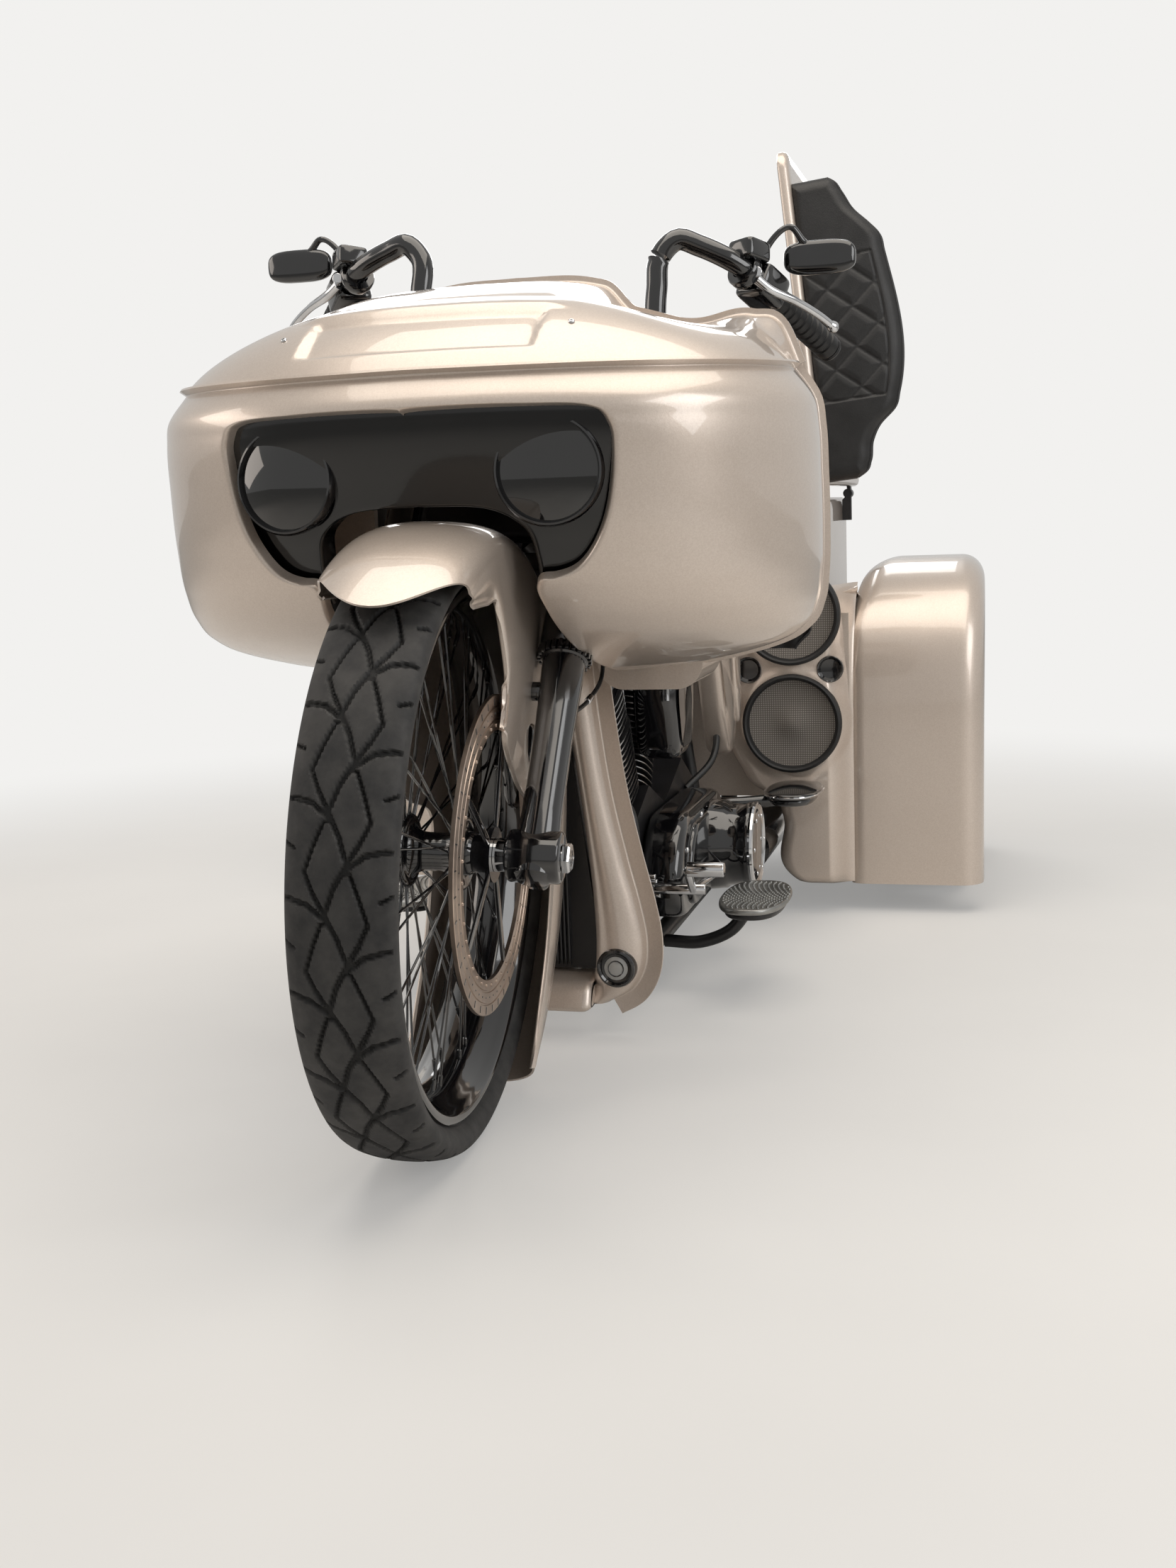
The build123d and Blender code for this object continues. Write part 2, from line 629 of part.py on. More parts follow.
def fairing_layer(cuts, inset, drop=0.0, mode=Mode.ADD):
    """The fairing's solid form, drawn in by inset: a bowed front, rounded corners and a straight back."""
    back = FAIRING_BACK + (1 if inset else 0)
    sketches = []
    for z, outer_half, outer_nose in cuts:
        half, nose = outer_half - inset, outer_nose + inset
        x_front, front = on_cut(half, nose, FRONT_SHARE)
        x_corner, corner = on_cut(half, nose, CORNER_SHARE)
        with BuildSketch(level(z - drop)) as cut:
            with BuildLine():
                ThreePointArc((-x_front, front), (0, nose), (x_front, front))
                ThreePointArc((x_front, front), (x_corner, corner), (half, FAIRING_WIDEST))
                Polyline((half, FAIRING_WIDEST), (half, back), (-half, back), (-half, FAIRING_WIDEST))
                ThreePointArc((-half, FAIRING_WIDEST), (-x_corner, corner), (-x_front, front))
            make_face()
        sketches.append(cut.sketch)
    loft(sketches, ruled=True, mode=mode)


MOUTH = ((-1, 940), (1, 940), (1, 800), (0.65, 728), (-0.65, 728), (-1, 800))
NOTCH_FLARE_Z = 664.0
with BuildPart() as fairing_shell:
    fairing_layer(SHELL_CUTS, 0)
    fairing_layer(SHELL_CUTS, FAIRING_WALL, mode=Mode.SUBTRACT)
    with BuildSketch(front_plane(-80)):
        with BuildLine():
            Polyline(*[(MOUTH_HALF_W * share, z) for share, z in MOUTH], close=True)
        make_face()
        fillet(vertices(), 40)
    extrude(amount=-260, mode=Mode.SUBTRACT)
    with BuildSketch(front_plane(-80)):
        with BuildLine():
            Polyline((-NOTCH_HALF_W, 800), (NOTCH_HALF_W, 800), (NOTCH_HALF_W, 728),
                     (NOTCH_FOOT_HALF_W, NOTCH_FLARE_Z), (NOTCH_FOOT_HALF_W, 560), (-NOTCH_FOOT_HALF_W, 560),
                     (-NOTCH_FOOT_HALF_W, NOTCH_FLARE_Z), (-NOTCH_HALF_W, 728), close=True)
        make_face()
    extrude(amount=-420, mode=Mode.SUBTRACT)

with BuildPart() as fairing_cap:
    fairing_layer(CAP_CUTS, 0)
    fairing_layer(CAP_CUTS, FAIRING_WALL, drop=FAIRING_WALL, mode=Mode.SUBTRACT)

# Fairing: the black mouth liner behind the opening, with the two lamps set in it
LINER_BACK = 24.0
ARCH_TOP = 828.0
with BuildPart() as mouth_liner:
    fairing_layer(SHELL_CUTS, FAIRING_WALL)
    fairing_layer(SHELL_CUTS, LINER_BACK, mode=Mode.SUBTRACT)
    with BuildSketch(front_plane(-80)):
        with BuildLine():
            Polyline((-285, 960), (285, 960), (285, 780), (230, 700), (NOTCH_HALF_W, 700), (NOTCH_HALF_W, 790),
                     (NOTCH_HALF_W - 30, ARCH_TOP), (30 - NOTCH_HALF_W, ARCH_TOP), (-NOTCH_HALF_W, 790),
                     (-NOTCH_HALF_W, 700), (-230, 700), (-285, 780), close=True)
        make_face()
    extrude(amount=-240, mode=Mode.INTERSECT)
    with BuildSketch(front_plane(-80)):
        with Locations((-LAMP_X, LAMP_Z), (LAMP_X, LAMP_Z)):
            Circle(LAMP_R)
    extrude(amount=-240, mode=Mode.SUBTRACT)

with BuildPart() as headlamps:
    with BuildSketch(front_plane(6)):
        with Locations((-LAMP_X, LAMP_Z), (LAMP_X, LAMP_Z)):
            Circle(LAMP_R)
    extrude(amount=-80)

# Fairing: inner fairing, the dash plate that fits the shell, with a knee pod each side
DASH_FOOT_Z = 760.0
POD_NECK_Z = 710.0
pod_top = STRUT_Z - STRUT_FOOT_R - MOVING_GAP
dash_side = [(half - FAIRING_WALL - RUNNING_GAP, max(z, DASH_FOOT_Z)) for z, half, nose in SHELL_CUTS[3:]]
with BuildPart() as inner_fairing:
    with BuildSketch(front_plane(FAIRING_BACK - 14)):
        with BuildLine():
            Polyline(*dash_side, *[(-x, z) for x, z in reversed(dash_side)], (-220, DASH_FOOT_Z), (-220, 940),
                     (220, 940), (220, DASH_FOOT_Z), close=True)
        make_face()
    extrude(amount=-14)
    for side in (-1, 1):
        with BuildSketch(front_plane(FAIRING_BACK - 14)):
            with Locations((200 * side, 640)):
                RectangleRounded(158, 176, 40)
            with Locations((262 * side, (POD_NECK_Z + pod_top) / 2)):
                Rectangle(76, pod_top - POD_NECK_Z)
        extrude(amount=-150)

# Chin: the painted ring round the cooler, with the cooler and the fog lamps
CHIN_FRONT = 455.0
CHIN_BACK = 515.0
with BuildPart() as chin_surround:
    for side in (-1, 1):
        with BuildSketch(front_plane(CHIN_FRONT)):
            with BuildLine():
                Line((44 * side, 600), (92 * side, 600))
                ThreePointArc((92 * side, 600), (120 * side, 390), (166 * side, 190))
                ThreePointArc((166 * side, 190), (166 * side, 112), (118 * side, 62))
                Polyline((118 * side, 62), (90 * side, 58), (90 * side, 190))
                ThreePointArc((90 * side, 190), (74 * side, 400), (44 * side, 600))
            make_face()
        extrude(amount=CHIN_FRONT - CHIN_BACK)
    with BuildSketch(side_plane(-90)):
        with BuildLine():
            Polyline((405, 52), (CHIN_BACK, 58), (CHIN_BACK, 110), (425, 96), close=True)
        make_face()
    extrude(amount=180)

with BuildPart() as cooler_core:
    with BuildSketch(front_plane(CHIN_FRONT + 14)):
        with BuildLine():
            Polyline((-58, 470), (58, 470), (90, 190), (90, 110), (-90, 110), (-90, 190), close=True)
        make_face()
    extrude(amount=-24)

with BuildPart() as fog_lamps:
    with BuildSketch(front_plane(CHIN_FRONT - 22)):
        with Locations((-126, 118), (126, 118)):
            Circle(29)
    extrude(amount=-22)

# Speaker panels: one each side between the engine and the rear fender
fender_start = FENDER_INNER_X + 2
PANEL_INNER_X = 170.0
PANEL_TOP = REAR_FENDER_TOP - 7
speaker_x = fender_start - SPEAKER_R - 18
PANEL_OUTLINE = (
    (fender_start, 60), (speaker_x - 22, 60), (speaker_x - 22, 225), (PANEL_INNER_X, 255),
    (PANEL_INNER_X, PANEL_TOP), (fender_start, PANEL_TOP),
)
SPEAKER_HOLES = (
    # x, z, radius
    (speaker_x, 388, SPEAKER_R),
    (speaker_x, 600, SPEAKER_R),
    (speaker_x - 85, 494, PORT_R),
    (speaker_x + 76, 494, PORT_R),
)


def speaker_panel(side):
    """A panel facing forward with two speaker openings and two ports."""
    with BuildSketch(front_plane(PANEL_FRONT)) as panel:
        with BuildLine():
            Polyline(*[(x * side, z) for x, z in PANEL_OUTLINE], close=True)
        make_face()
        for x, z, radius in SPEAKER_HOLES:
            with Locations((x * side, z)):
                Circle(radius, mode=Mode.SUBTRACT)
    extrude(panel.sketch, amount=-PANEL_T)


with BuildPart() as speaker_panel_left:
    speaker_panel(1)
with BuildPart() as speaker_panel_right:
    speaker_panel(-1)

with BuildPart() as speaker_grilles:
    for side in (-1, 1):
        with BuildSketch(front_plane(PANEL_FRONT + SKIN)):
            for x, z, radius in SPEAKER_HOLES[:2]:
                with Locations((x * side, z)):
                    Circle(radius)
        extrude(amount=SKIN - PANEL_T)

# Rear fenders: full covers open below, with the wheel opening in the outer side
def fender_form(side, inset):
    """The fender's rounded form drawn in by inset: nose and tail curves seen from the side, a soft outer edge."""
    front, rear = REAR_FENDER_FRONT + inset, REAR_FENDER_REAR - inset
    top, foot = REAR_FENDER_TOP - inset, FENDER_FOOT_Z - inset
    nose_r, tail_r = FENDER_NOSE_R - inset, FENDER_TAIL_R - inset
    bulge = 1 - math.sqrt(0.5)
    with BuildPart() as form:
        with BuildSketch(side_plane((fender_start + inset) * side)):
            with BuildLine():
                Line((front, foot), (front, top - nose_r))
                ThreePointArc((front, top - nose_r), (front + bulge * nose_r, top - bulge * nose_r),
                              (front + nose_r, top))
                Line((front + nose_r, top), (rear - tail_r, top))
                ThreePointArc((rear - tail_r, top), (rear - bulge * tail_r, top - bulge * tail_r),
                              (rear, top - tail_r))
                Polyline((rear, top - tail_r), (rear, foot), (front, foot))
            make_face()
        extrude(amount=(BODY_HALF_W - fender_start - 2 * inset) * side)
        outer_edges = form.edges().group_by(Axis.X)[-1 if side > 0 else 0]
        fillet(outer_edges.filter_by(lambda edge: edge.center().Z > foot + 1), FENDER_ROUND - inset)
    return form.part


fender_forms = {side: (fender_form(side, 0), fender_form(side, SKIN)) for side in (-1, 1)}


def rear_fender(side):
    """One rear fender with its space for the wheel."""
    outer, space = fender_forms[side]
    add(outer)
    add(space, mode=Mode.SUBTRACT)
    with BuildSketch(side_plane((BODY_HALF_W - 60) * side)) as arch:
        with Locations((WHEELBASE, REAR_TYRE_R)):
            Circle(ARCH_R)
        with Locations((WHEELBASE, REAR_TYRE_R - 200)):
            Rectangle(2 * ARCH_R, 400)
    extrude(arch.sketch, amount=80 * side, mode=Mode.SUBTRACT)
    with BuildSketch(side_plane((fender_start - 10) * side)) as axle_way:
        with Locations((WHEELBASE, 225)):
            Rectangle(2 * ARCH_R, 450)
    extrude(axle_way.sketch, amount=40 * side, mode=Mode.SUBTRACT)


with BuildPart() as fender_left:
    rear_fender(1)
with BuildPart() as fender_right:
    rear_fender(-1)

# Trunk: an open tub between the fenders
trunk_middle = (TRUNK_FRONT + TRUNK_REAR) / 2
trunk_length = TRUNK_REAR - TRUNK_FRONT
with BuildPart() as trunk_box:
    with BuildSketch(level(TRUNK_FLOOR)):
        with Locations((0, trunk_middle)):
            Rectangle(2 * fender_start, trunk_length)
    extrude(amount=TRUNK_SHOULDER - TRUNK_FLOOR)
    with BuildSketch(level(TRUNK_SHOULDER)):
        with Locations((0, trunk_middle)):
            Rectangle(2 * TRUNK_HALF_W, trunk_length)
    extrude(amount=TRUNK_TOP - TRUNK_SHOULDER)
    with BuildSketch(level(TRUNK_FLOOR + SKIN)):
        with Locations((0, trunk_middle)):
            RectangleRounded(2 * (TRUNK_HALF_W - SKIN), trunk_length - 2 * SKIN, 30)
    extrude(amount=TRUNK_TOP - TRUNK_FLOOR, mode=Mode.SUBTRACT)

# Trunk hinges: fixed ears and pins along the left edge
HINGE_X = TRUNK_HALF_W + 12
HINGE_Z = TRUNK_TOP + 8
HINGE_STATIONS = (TRUNK_FRONT + HINGE_FROM_END, TRUNK_REAR - HINGE_FROM_END)
with BuildPart() as trunk_hinges:
    for station in HINGE_STATIONS:
        with BuildSketch(front_plane(station - 22)):
            with BuildLine():
                Polyline((TRUNK_HALF_W, HINGE_Z - 60), (HINGE_X + 8, HINGE_Z - 60), (HINGE_X + 8, HINGE_Z + 6),
                         (TRUNK_HALF_W, HINGE_Z - 14), close=True)
            make_face()
            with Locations((HINGE_X, HINGE_Z)):
                Circle(10)
        extrude(amount=-14)
        with BuildSketch(front_plane(station - 22)):
            with Locations((HINGE_X, HINGE_Z)):
                Circle(HINGE_R)
        extrude(amount=-44)

# The lid as it stands open, turned about the hinge
hinge_place = Location(at(HINGE_X, 0, HINGE_Z))
raise_lid = hinge_place * Rotation(0, LID_OPEN, 0) * hinge_place.inverse()


def raised(plane):
    """The same plane after the lid has been opened."""
    return Plane(raise_lid * plane.location)


lid_low = TRUNK_TOP + MOVING_GAP
lid_half = TRUNK_HALF_W - 3
with BuildPart() as trunk_lid:
    with BuildSketch(raised(level(lid_low))):
        with Locations((0, trunk_middle)):
            RectangleRounded(2 * lid_half, trunk_length, 34)
    extrude(amount=LID_T)
    for station in HINGE_STATIONS:
        with BuildSketch(raised(front_plane(station - 4))):
            with Locations((HINGE_X, HINGE_Z)):
                Circle(HINGE_R + 5)
            with Locations(((HINGE_X + lid_half - 20) / 2, HINGE_Z + 3)):
                Rectangle(HINGE_X - lid_half + 20, 8)
            with Locations((HINGE_X, HINGE_Z)):
                Circle(HINGE_R + RUNNING_GAP, mode=Mode.SUBTRACT)
        extrude(amount=-24)

# The backrest pad, a wide padded roll; its outline as shares of half length and height
PAD_OUTLINE = ((1.0, 0.0), (1.014, 0.40), (0.79, 0.82), (0.60, 1.0))
pad_base = lid_low + LID_T
with BuildPart() as backrest_pad:
    with BuildSketch(raised(front_plane(TRUNK_FRONT + 6))):
        with BuildLine():
            Polyline(*[(PAD_X + PAD_HALF_L * along, pad_base + PAD_H * up) for along, up in PAD_OUTLINE],
                     *[(PAD_X - PAD_HALF_L * along, pad_base + PAD_H * up) for along, up in reversed(PAD_OUTLINE)],
                     close=True)
        make_face()
    extrude(amount=-PAD_T)
    fillet(faces().sort_by(Axis.Y)[0].edges(), 18)


def rear_tyre(side):
    """One rear tyre, square shouldered."""
    centre = at(REAR_WHEEL_X * side, WHEELBASE, REAR_TYRE_R)
    half = REAR_TYRE_W / 2
    rim_half = REAR_RIM_W / 2
    outer_side = ((rim_half, REAR_BEAD_R + 14), (half - 4, REAR_BEAD_R + 34), (half, REAR_BEAD_R + 60),
                  (half - 3, REAR_TYRE_R - 30), (half - 10, REAR_TYRE_R - 12), (half - 28, REAR_TYRE_R))
    with BuildSketch(Plane(origin=centre, x_dir=(1, 0, 0), z_dir=(0, -1, 0))) as section:
        with BuildLine():
            Polyline((-rim_half, REAR_BEAD_R), (rim_half, REAR_BEAD_R), *outer_side,
                     *[(-x, radius) for x, radius in reversed(outer_side)], close=True)
        make_face()
    revolve(section.sketch, axis=Axis(centre, (1, 0, 0)))


def rear_rim(side):
    """One rear wheel: rim, hub and spokes near the outer side."""
    centre = at(REAR_WHEEL_X * side, WHEELBASE, REAR_TYRE_R)
    rim_half = REAR_RIM_W / 2
    with BuildSketch(Plane(origin=centre, x_dir=(1, 0, 0), z_dir=(0, -1, 0))) as section:
        with BuildLine():
            Polyline((-rim_half - 6, REAR_BEAD_R + 14), (-rim_half, REAR_BEAD_R + 14), (-rim_half, REAR_BEAD_R),
                     (rim_half, REAR_BEAD_R), (rim_half, REAR_BEAD_R + 14), (rim_half + 6, REAR_BEAD_R + 14),
                     (rim_half + 6, REAR_BEAD_R - 10), (rim_half - 20, REAR_BEAD_R - 18),
                     (20 - rim_half, REAR_BEAD_R - 18), (-rim_half - 6, REAR_BEAD_R - 10), close=True)
        make_face()
        with BuildLine():
            Polyline((0, 0), (60 * side, 0), (60 * side, 40), (40 * side, 62), (0, 62), close=True)
        make_face()
    revolve(section.sketch, axis=Axis(centre, (1, 0, 0)))
    with BuildSketch(side_plane((REAR_WHEEL_X + 20) * side)) as spokes:
        with Locations((WHEELBASE, REAR_TYRE_R)):
            with PolarLocations(125, REAR_SPOKES):
                Rectangle(160, 26)
    extrude(spokes.sketch, amount=24 * side)


with BuildPart() as rear_tyre_left:
    rear_tyre(1)
with BuildPart() as rear_tyre_right:
    rear_tyre(-1)
with BuildPart() as rear_rim_left:
    rear_rim(1)
with BuildPart() as rear_rim_right:
    rear_rim(-1)

# Rear axle housing between the wheels, hung from the trunk floor
with BuildPart() as rear_axle:
    with BuildSketch(side_plane(RUNNING_GAP - REAR_WHEEL_X)):
        with Locations((WHEELBASE, REAR_TYRE_R)):
            Circle(34)
    extrude(amount=2 * (REAR_WHEEL_X - RUNNING_GAP))
    with BuildSketch(side_plane(-70)):
        with Locations((WHEELBASE, REAR_TYRE_R)):
            Circle(84)
    extrude(amount=140)
    with BuildSketch(side_plane(-166), side_plane(154)):
        with Locations((WHEELBASE, (REAR_TYRE_R + TRUNK_FLOOR) / 2)):
            Rectangle(90, TRUNK_FLOOR - REAR_TYRE_R)
    extrude(amount=12)

# Floorboards for the rider and boards for the passenger
RAIL_SIDE = RAIL_X + FRAME_R
with BuildPart() as floorboards:
    with BuildSketch(level(158)):
        with Locations((-295, 750), (295, 750)):
            RectangleRounded(118, 230, 50)
    extrude(amount=14)
    for side in (-1, 1):
        tube([at(RAIL_SIDE * side, 750, RAIL_Z), at(230 * side, 750, RAIL_Z), at(290 * side, 750, 150)], 12)
with BuildPart() as passenger_boards:
    with BuildSketch(level(262)):
        with Locations((-300, 1195), (300, 1195)):
            RectangleRounded(110, 190, 40)
    extrude(amount=14)
    for side in (-1, 1):
        tube([at(CASE_HALF_W * side, 1160, 250), at(150 * side, 1160, 250), at(300 * side, 1195, 250)], 13)

# Tail lamps and the plate bracket
with BuildPart() as tail_lamps:
    with BuildSketch(front_plane(REAR_FENDER_REAR)):
        with Locations((-520, 470), (520, 470)):
            RectangleRounded(130, 70, 30)
    extrude(amount=-12)

with BuildPart() as plate_bracket:
    with BuildSketch(front_plane(TRUNK_REAR + 20)):
        with Locations((0, 560)):
            RectangleRounded(PLATE_W, PLATE_H, 12)
            with GridLocations(PLATE_HOLES_X, PLATE_HOLES_Z, 2, 2):
                Circle(PLATE_HOLE_R, mode=Mode.SUBTRACT)
    extrude(amount=-4)
    with BuildSketch(front_plane(TRUNK_REAR)):
        with Locations((0, 560)):
            Rectangle(60, 60)
    extrude(amount=-20)

# Files
PIECES = {
    "front_tyre": front_tyre,
    "front_rim": front_rim,
    "brake_rotor": brake_rotor,
    "fork_legs": fork_legs,
    "fork_tubes": fork_tubes,
    "triple_clamps": triple_clamps,
    "front_axle": front_axle,
    "brake_caliper": brake_caliper,
    "front_fender": front_fender,
    "handlebar": handlebar,
    "left_controls": left_controls,
    "right_controls": right_controls,
    "mirrors": mirrors,
    "frame_tubes": frame_tubes,
    "engine_cases": engine_cases,
    "front_cylinder": front_cylinder,
    "rear_cylinder": rear_cylinder,
    "primary_cover": primary_cover,
    "air_cleaner": air_cleaner,
    "exhaust": exhaust,
    "fuel_tank": fuel_tank,
    "seat": seat,
    "fairing_shell": fairing_shell,
    "fairing_cap": fairing_cap,
    "mouth_liner": mouth_liner,
    "headlamps": headlamps,
    "inner_fairing": inner_fairing,
    "chin_surround": chin_surround,
    "cooler_core": cooler_core,
    "fog_lamps": fog_lamps,
    "speaker_panel_left": speaker_panel_left,
    "speaker_panel_right": speaker_panel_right,
    "speaker_grilles": speaker_grilles,
    "fender_left": fender_left,
    "fender_right": fender_right,
    "trunk_box": trunk_box,
    "trunk_hinges": trunk_hinges,
    "trunk_lid": trunk_lid,
    "backrest_pad": backrest_pad,
    "rear_tyre_left": rear_tyre_left,
    "rear_tyre_right": rear_tyre_right,
    "rear_rim_left": rear_rim_left,
    "rear_rim_right": rear_rim_right,
    "rear_axle": rear_axle,
    "floorboards": floorboards,
    "passenger_boards": passenger_boards,
    "tail_lamps": tail_lamps,
    "plate_bracket": plate_bracket,
}
for name, piece in PIECES.items():
    piece.part.label = name
    export_step(piece.part, f"parts/{name}.step")
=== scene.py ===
import math
import bmesh
import bpy
import numpy as np
from mathutils import Matrix


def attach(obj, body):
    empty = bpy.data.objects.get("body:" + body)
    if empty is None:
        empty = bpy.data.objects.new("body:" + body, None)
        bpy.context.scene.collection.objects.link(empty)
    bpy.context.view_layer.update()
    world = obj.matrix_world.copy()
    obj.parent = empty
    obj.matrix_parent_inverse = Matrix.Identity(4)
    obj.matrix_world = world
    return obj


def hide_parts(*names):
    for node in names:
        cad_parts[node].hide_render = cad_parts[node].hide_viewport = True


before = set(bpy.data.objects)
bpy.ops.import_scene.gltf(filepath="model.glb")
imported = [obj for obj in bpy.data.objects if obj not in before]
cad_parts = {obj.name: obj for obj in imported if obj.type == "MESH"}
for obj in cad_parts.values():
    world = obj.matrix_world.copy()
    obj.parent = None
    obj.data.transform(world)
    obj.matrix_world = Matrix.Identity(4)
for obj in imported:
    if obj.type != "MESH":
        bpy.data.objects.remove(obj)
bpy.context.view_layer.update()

# Sizes in metres, from the CAD part. X is the rider's left, Y the rear, Z up.
FRONT_AXLE_Y = -0.8453
WHEEL_R = 0.390
RAKE = math.radians(36.0)
STEER_REST = math.radians(4.5)
AXLE_AHEAD = 0.060
FORK_X = 0.132
WHEELBASE = 1.700
REAR_WHEEL_X = 0.517
REAR_TYRE_R = 0.330
SEAM_Z = 0.985
TRUNK_FRONT = 1.345
TRUNK_REAR = 2.030
TRUNK_HALF_W = 0.320
LID_OPEN = math.radians(84.0)
HINGE_X = 0.332
HINGE_Z = 0.834


# Points and frames

def at(x, back, z):
    """Points given by x, the distance behind the front axle and the height."""
    x, back, z = np.broadcast_arrays(x, back, z)
    return np.stack([x, back + FRONT_AXLE_Y, z], axis=-1).astype(float)


def turned(points, origin, axis, angle):
    """Points turned about an axis by an angle: each keeps its part along the axis, and the rest turns."""
    axis = np.asarray(axis, float) / np.linalg.norm(axis)
    arm = np.asarray(points, float) - origin
    along = (arm @ axis)[..., None] * axis
    return origin + along + (arm - along) * math.cos(angle) + np.cross(axis, arm) * math.sin(angle)


STEM_FOOT = at(0, AXLE_AHEAD * math.cos(RAKE), WHEEL_R - AXLE_AHEAD * math.sin(RAKE))
STEM_DIR = np.array([0, math.sin(RAKE), math.cos(RAKE)])


def steered(points):
    """Points of the straight-ahead steering, turned to where it rests in the photograph."""
    return turned(points, STEM_FOOT, STEM_DIR, STEER_REST)


def on_wheel(x, rear, up):
    """Points beside the front wheel's centre, turned with the steering."""
    return steered(at(x, rear, np.asarray(up) + WHEEL_R))


def on_fork(x, ahead, height):
    """Points by the fork: beside, ahead of and along the stem from its foot, turned with the steering."""
    x, ahead, height = np.broadcast_arrays(x, ahead, height)
    ahead_dir = np.array([0, -math.cos(RAKE), math.sin(RAKE)])
    side = np.array([1.0, 0, 0])
    flat = STEM_FOOT + x[..., None] * side + ahead[..., None] * ahead_dir + height[..., None] * STEM_DIR
    return steered(flat)


def on_lid(points):
    """Points of the closed lid, turned open about its hinge."""
    return turned(points, at(HINGE_X, 0, HINGE_Z), (0, 1, 0), LID_OPEN)


# Curves and surfaces, each a pair of arrays: vertices and quads

def through(knots, values, t):
    """A smooth curve through values at knots: cubic Hermite pieces with central-difference slopes."""
    knots = np.asarray(knots, float)
    values = np.asarray(values, float)
    slopes = np.gradient(values, knots, axis=0)
    t = np.asarray(t, float)
    i = np.clip(np.searchsorted(knots, t, side="right") - 1, 0, len(knots) - 2)
    step = knots[i + 1] - knots[i]
    s = (t - knots[i]) / step
    if values.ndim > 1:
        s, step = s[..., None], step[..., None]
    return ((2 * s ** 3 - 3 * s ** 2 + 1) * values[i] + (s ** 3 - 2 * s ** 2 + s) * step * slopes[i]
            + (3 * s ** 2 - 2 * s ** 3) * values[i + 1] + (s ** 3 - s ** 2) * step * slopes[i + 1])


def smooth_path(points, count):
    """A smooth path through points, even in chord length."""
    points = np.asarray(points, float)
    chord = np.concatenate([[0], np.cumsum(np.linalg.norm(np.diff(points, axis=0), axis=1))])
    dense = through(chord / chord[-1], points, np.linspace(0, 1, 8 * count))
    run = np.concatenate([[0], np.cumsum(np.linalg.norm(np.diff(dense, axis=0), axis=1))])
    even = np.linspace(0, run[-1], count)
    return np.stack([np.interp(even, run, dense[:, k]) for k in range(points.shape[1])], axis=-1)


def ease(value, low, high):
    """0 below low, 1 above high and the cubic 3s2 - 2s3 between."""
    s = np.clip((np.asarray(value, float) - low) / (high - low), 0, 1)
    return s * s * (3 - 2 * s)


def quads(rows, columns, close_rows=False, close_columns=False):
    """The quads of a grid numbered row by row, joined round where it closes."""
    r = np.arange(rows if close_rows else rows - 1)
    c = np.arange(columns if close_columns else columns - 1)
    r, c = np.meshgrid(r, c, indexing="ij")
    r2, c2 = (r + 1) % rows, (c + 1) % columns
    return np.stack([r * columns + c, r * columns + c2, r2 * columns + c2, r2 * columns + c], -1).reshape(-1, 4)


def sheet(grid, close_rows=False, close_columns=False):
    """A surface whose vertices are the grid itself."""
    return grid.reshape(-1, 3), quads(grid.shape[0], grid.shape[1], close_rows, close_columns)


def normals(grid):
    """Unit normals of a grid: the cross product of its two differences."""
    n = np.cross(np.gradient(grid, axis=0), np.gradient(grid, axis=1))
    return n / np.maximum(np.linalg.norm(n, axis=-1, keepdims=True), 1e-12)


def facing(grid, row, column, axis, way=1):
    """The grid, with its columns reversed where its normal at one point runs against way along an axis."""
    return grid[:, ::-1] if way * normals(grid)[row, column, axis] < 0 else grid


def walled(grid, wall):
    """A closed wall: the grid, the same grid moved by wall against its normal, and the rim between."""
    inner = grid - normals(grid) * wall
    rows, columns = grid.shape[:2]
    front = quads(rows, columns)
    back = front[:, ::-1] + rows * columns
    index = np.arange(rows * columns).reshape(rows, columns)
    ring = np.concatenate([index[0, :-1], index[:-1, -1], index[-1, :0:-1], index[:0:-1, 0]])
    nxt = np.roll(ring, -1)
    rim = np.stack([nxt, ring, ring + rows * columns, nxt + rows * columns], -1)
    return np.concatenate([grid.reshape(-1, 3), inner.reshape(-1, 3)]), np.concatenate([front, back, rim])


def joined(*parts):
    """Several surfaces as one pair of arrays."""
    start = np.cumsum([0] + [len(v) for v, f in parts])
    return (np.concatenate([v for v, f in parts]),
            np.concatenate([f + s for (v, f), s in zip(parts, start)]))


def copies(part, places):
    """A surface repeated at each place, a 4 by 4 matrix."""
    verts, faces = part
    places = np.asarray(places)
    moved = np.einsum("kij,nj->kni", places[:, :3, :3], verts) + places[:, None, :3, 3]
    index = faces[None] + (np.arange(len(places)) * len(verts))[:, None, None]
    return moved.reshape(-1, 3), index.reshape(-1, 4)


def placed(origins, ups, sides=None):
    """Matrices whose third column is up and whose first is square to it, one for each origin."""
    origins = np.atleast_2d(np.asarray(origins, float))
    ups = np.broadcast_to(np.asarray(ups, float), origins.shape)
    ups = ups / np.linalg.norm(ups, axis=-1, keepdims=True)
    if sides is None:
        sides = np.where(np.abs(ups[:, :1]) > 0.9, [[0, 1.0, 0]], [[1.0, 0, 0]])
    sides = np.broadcast_to(np.asarray(sides, float), origins.shape)
    third = np.cross(ups, sides)
    third = third / np.linalg.norm(third, axis=-1, keepdims=True)
    first = np.cross(third, ups)
    out = np.tile(np.eye(4), (len(origins), 1, 1))
    out[:, :3, 0], out[:, :3, 1], out[:, :3, 2], out[:, :3, 3] = first, third, ups, origins
    return out


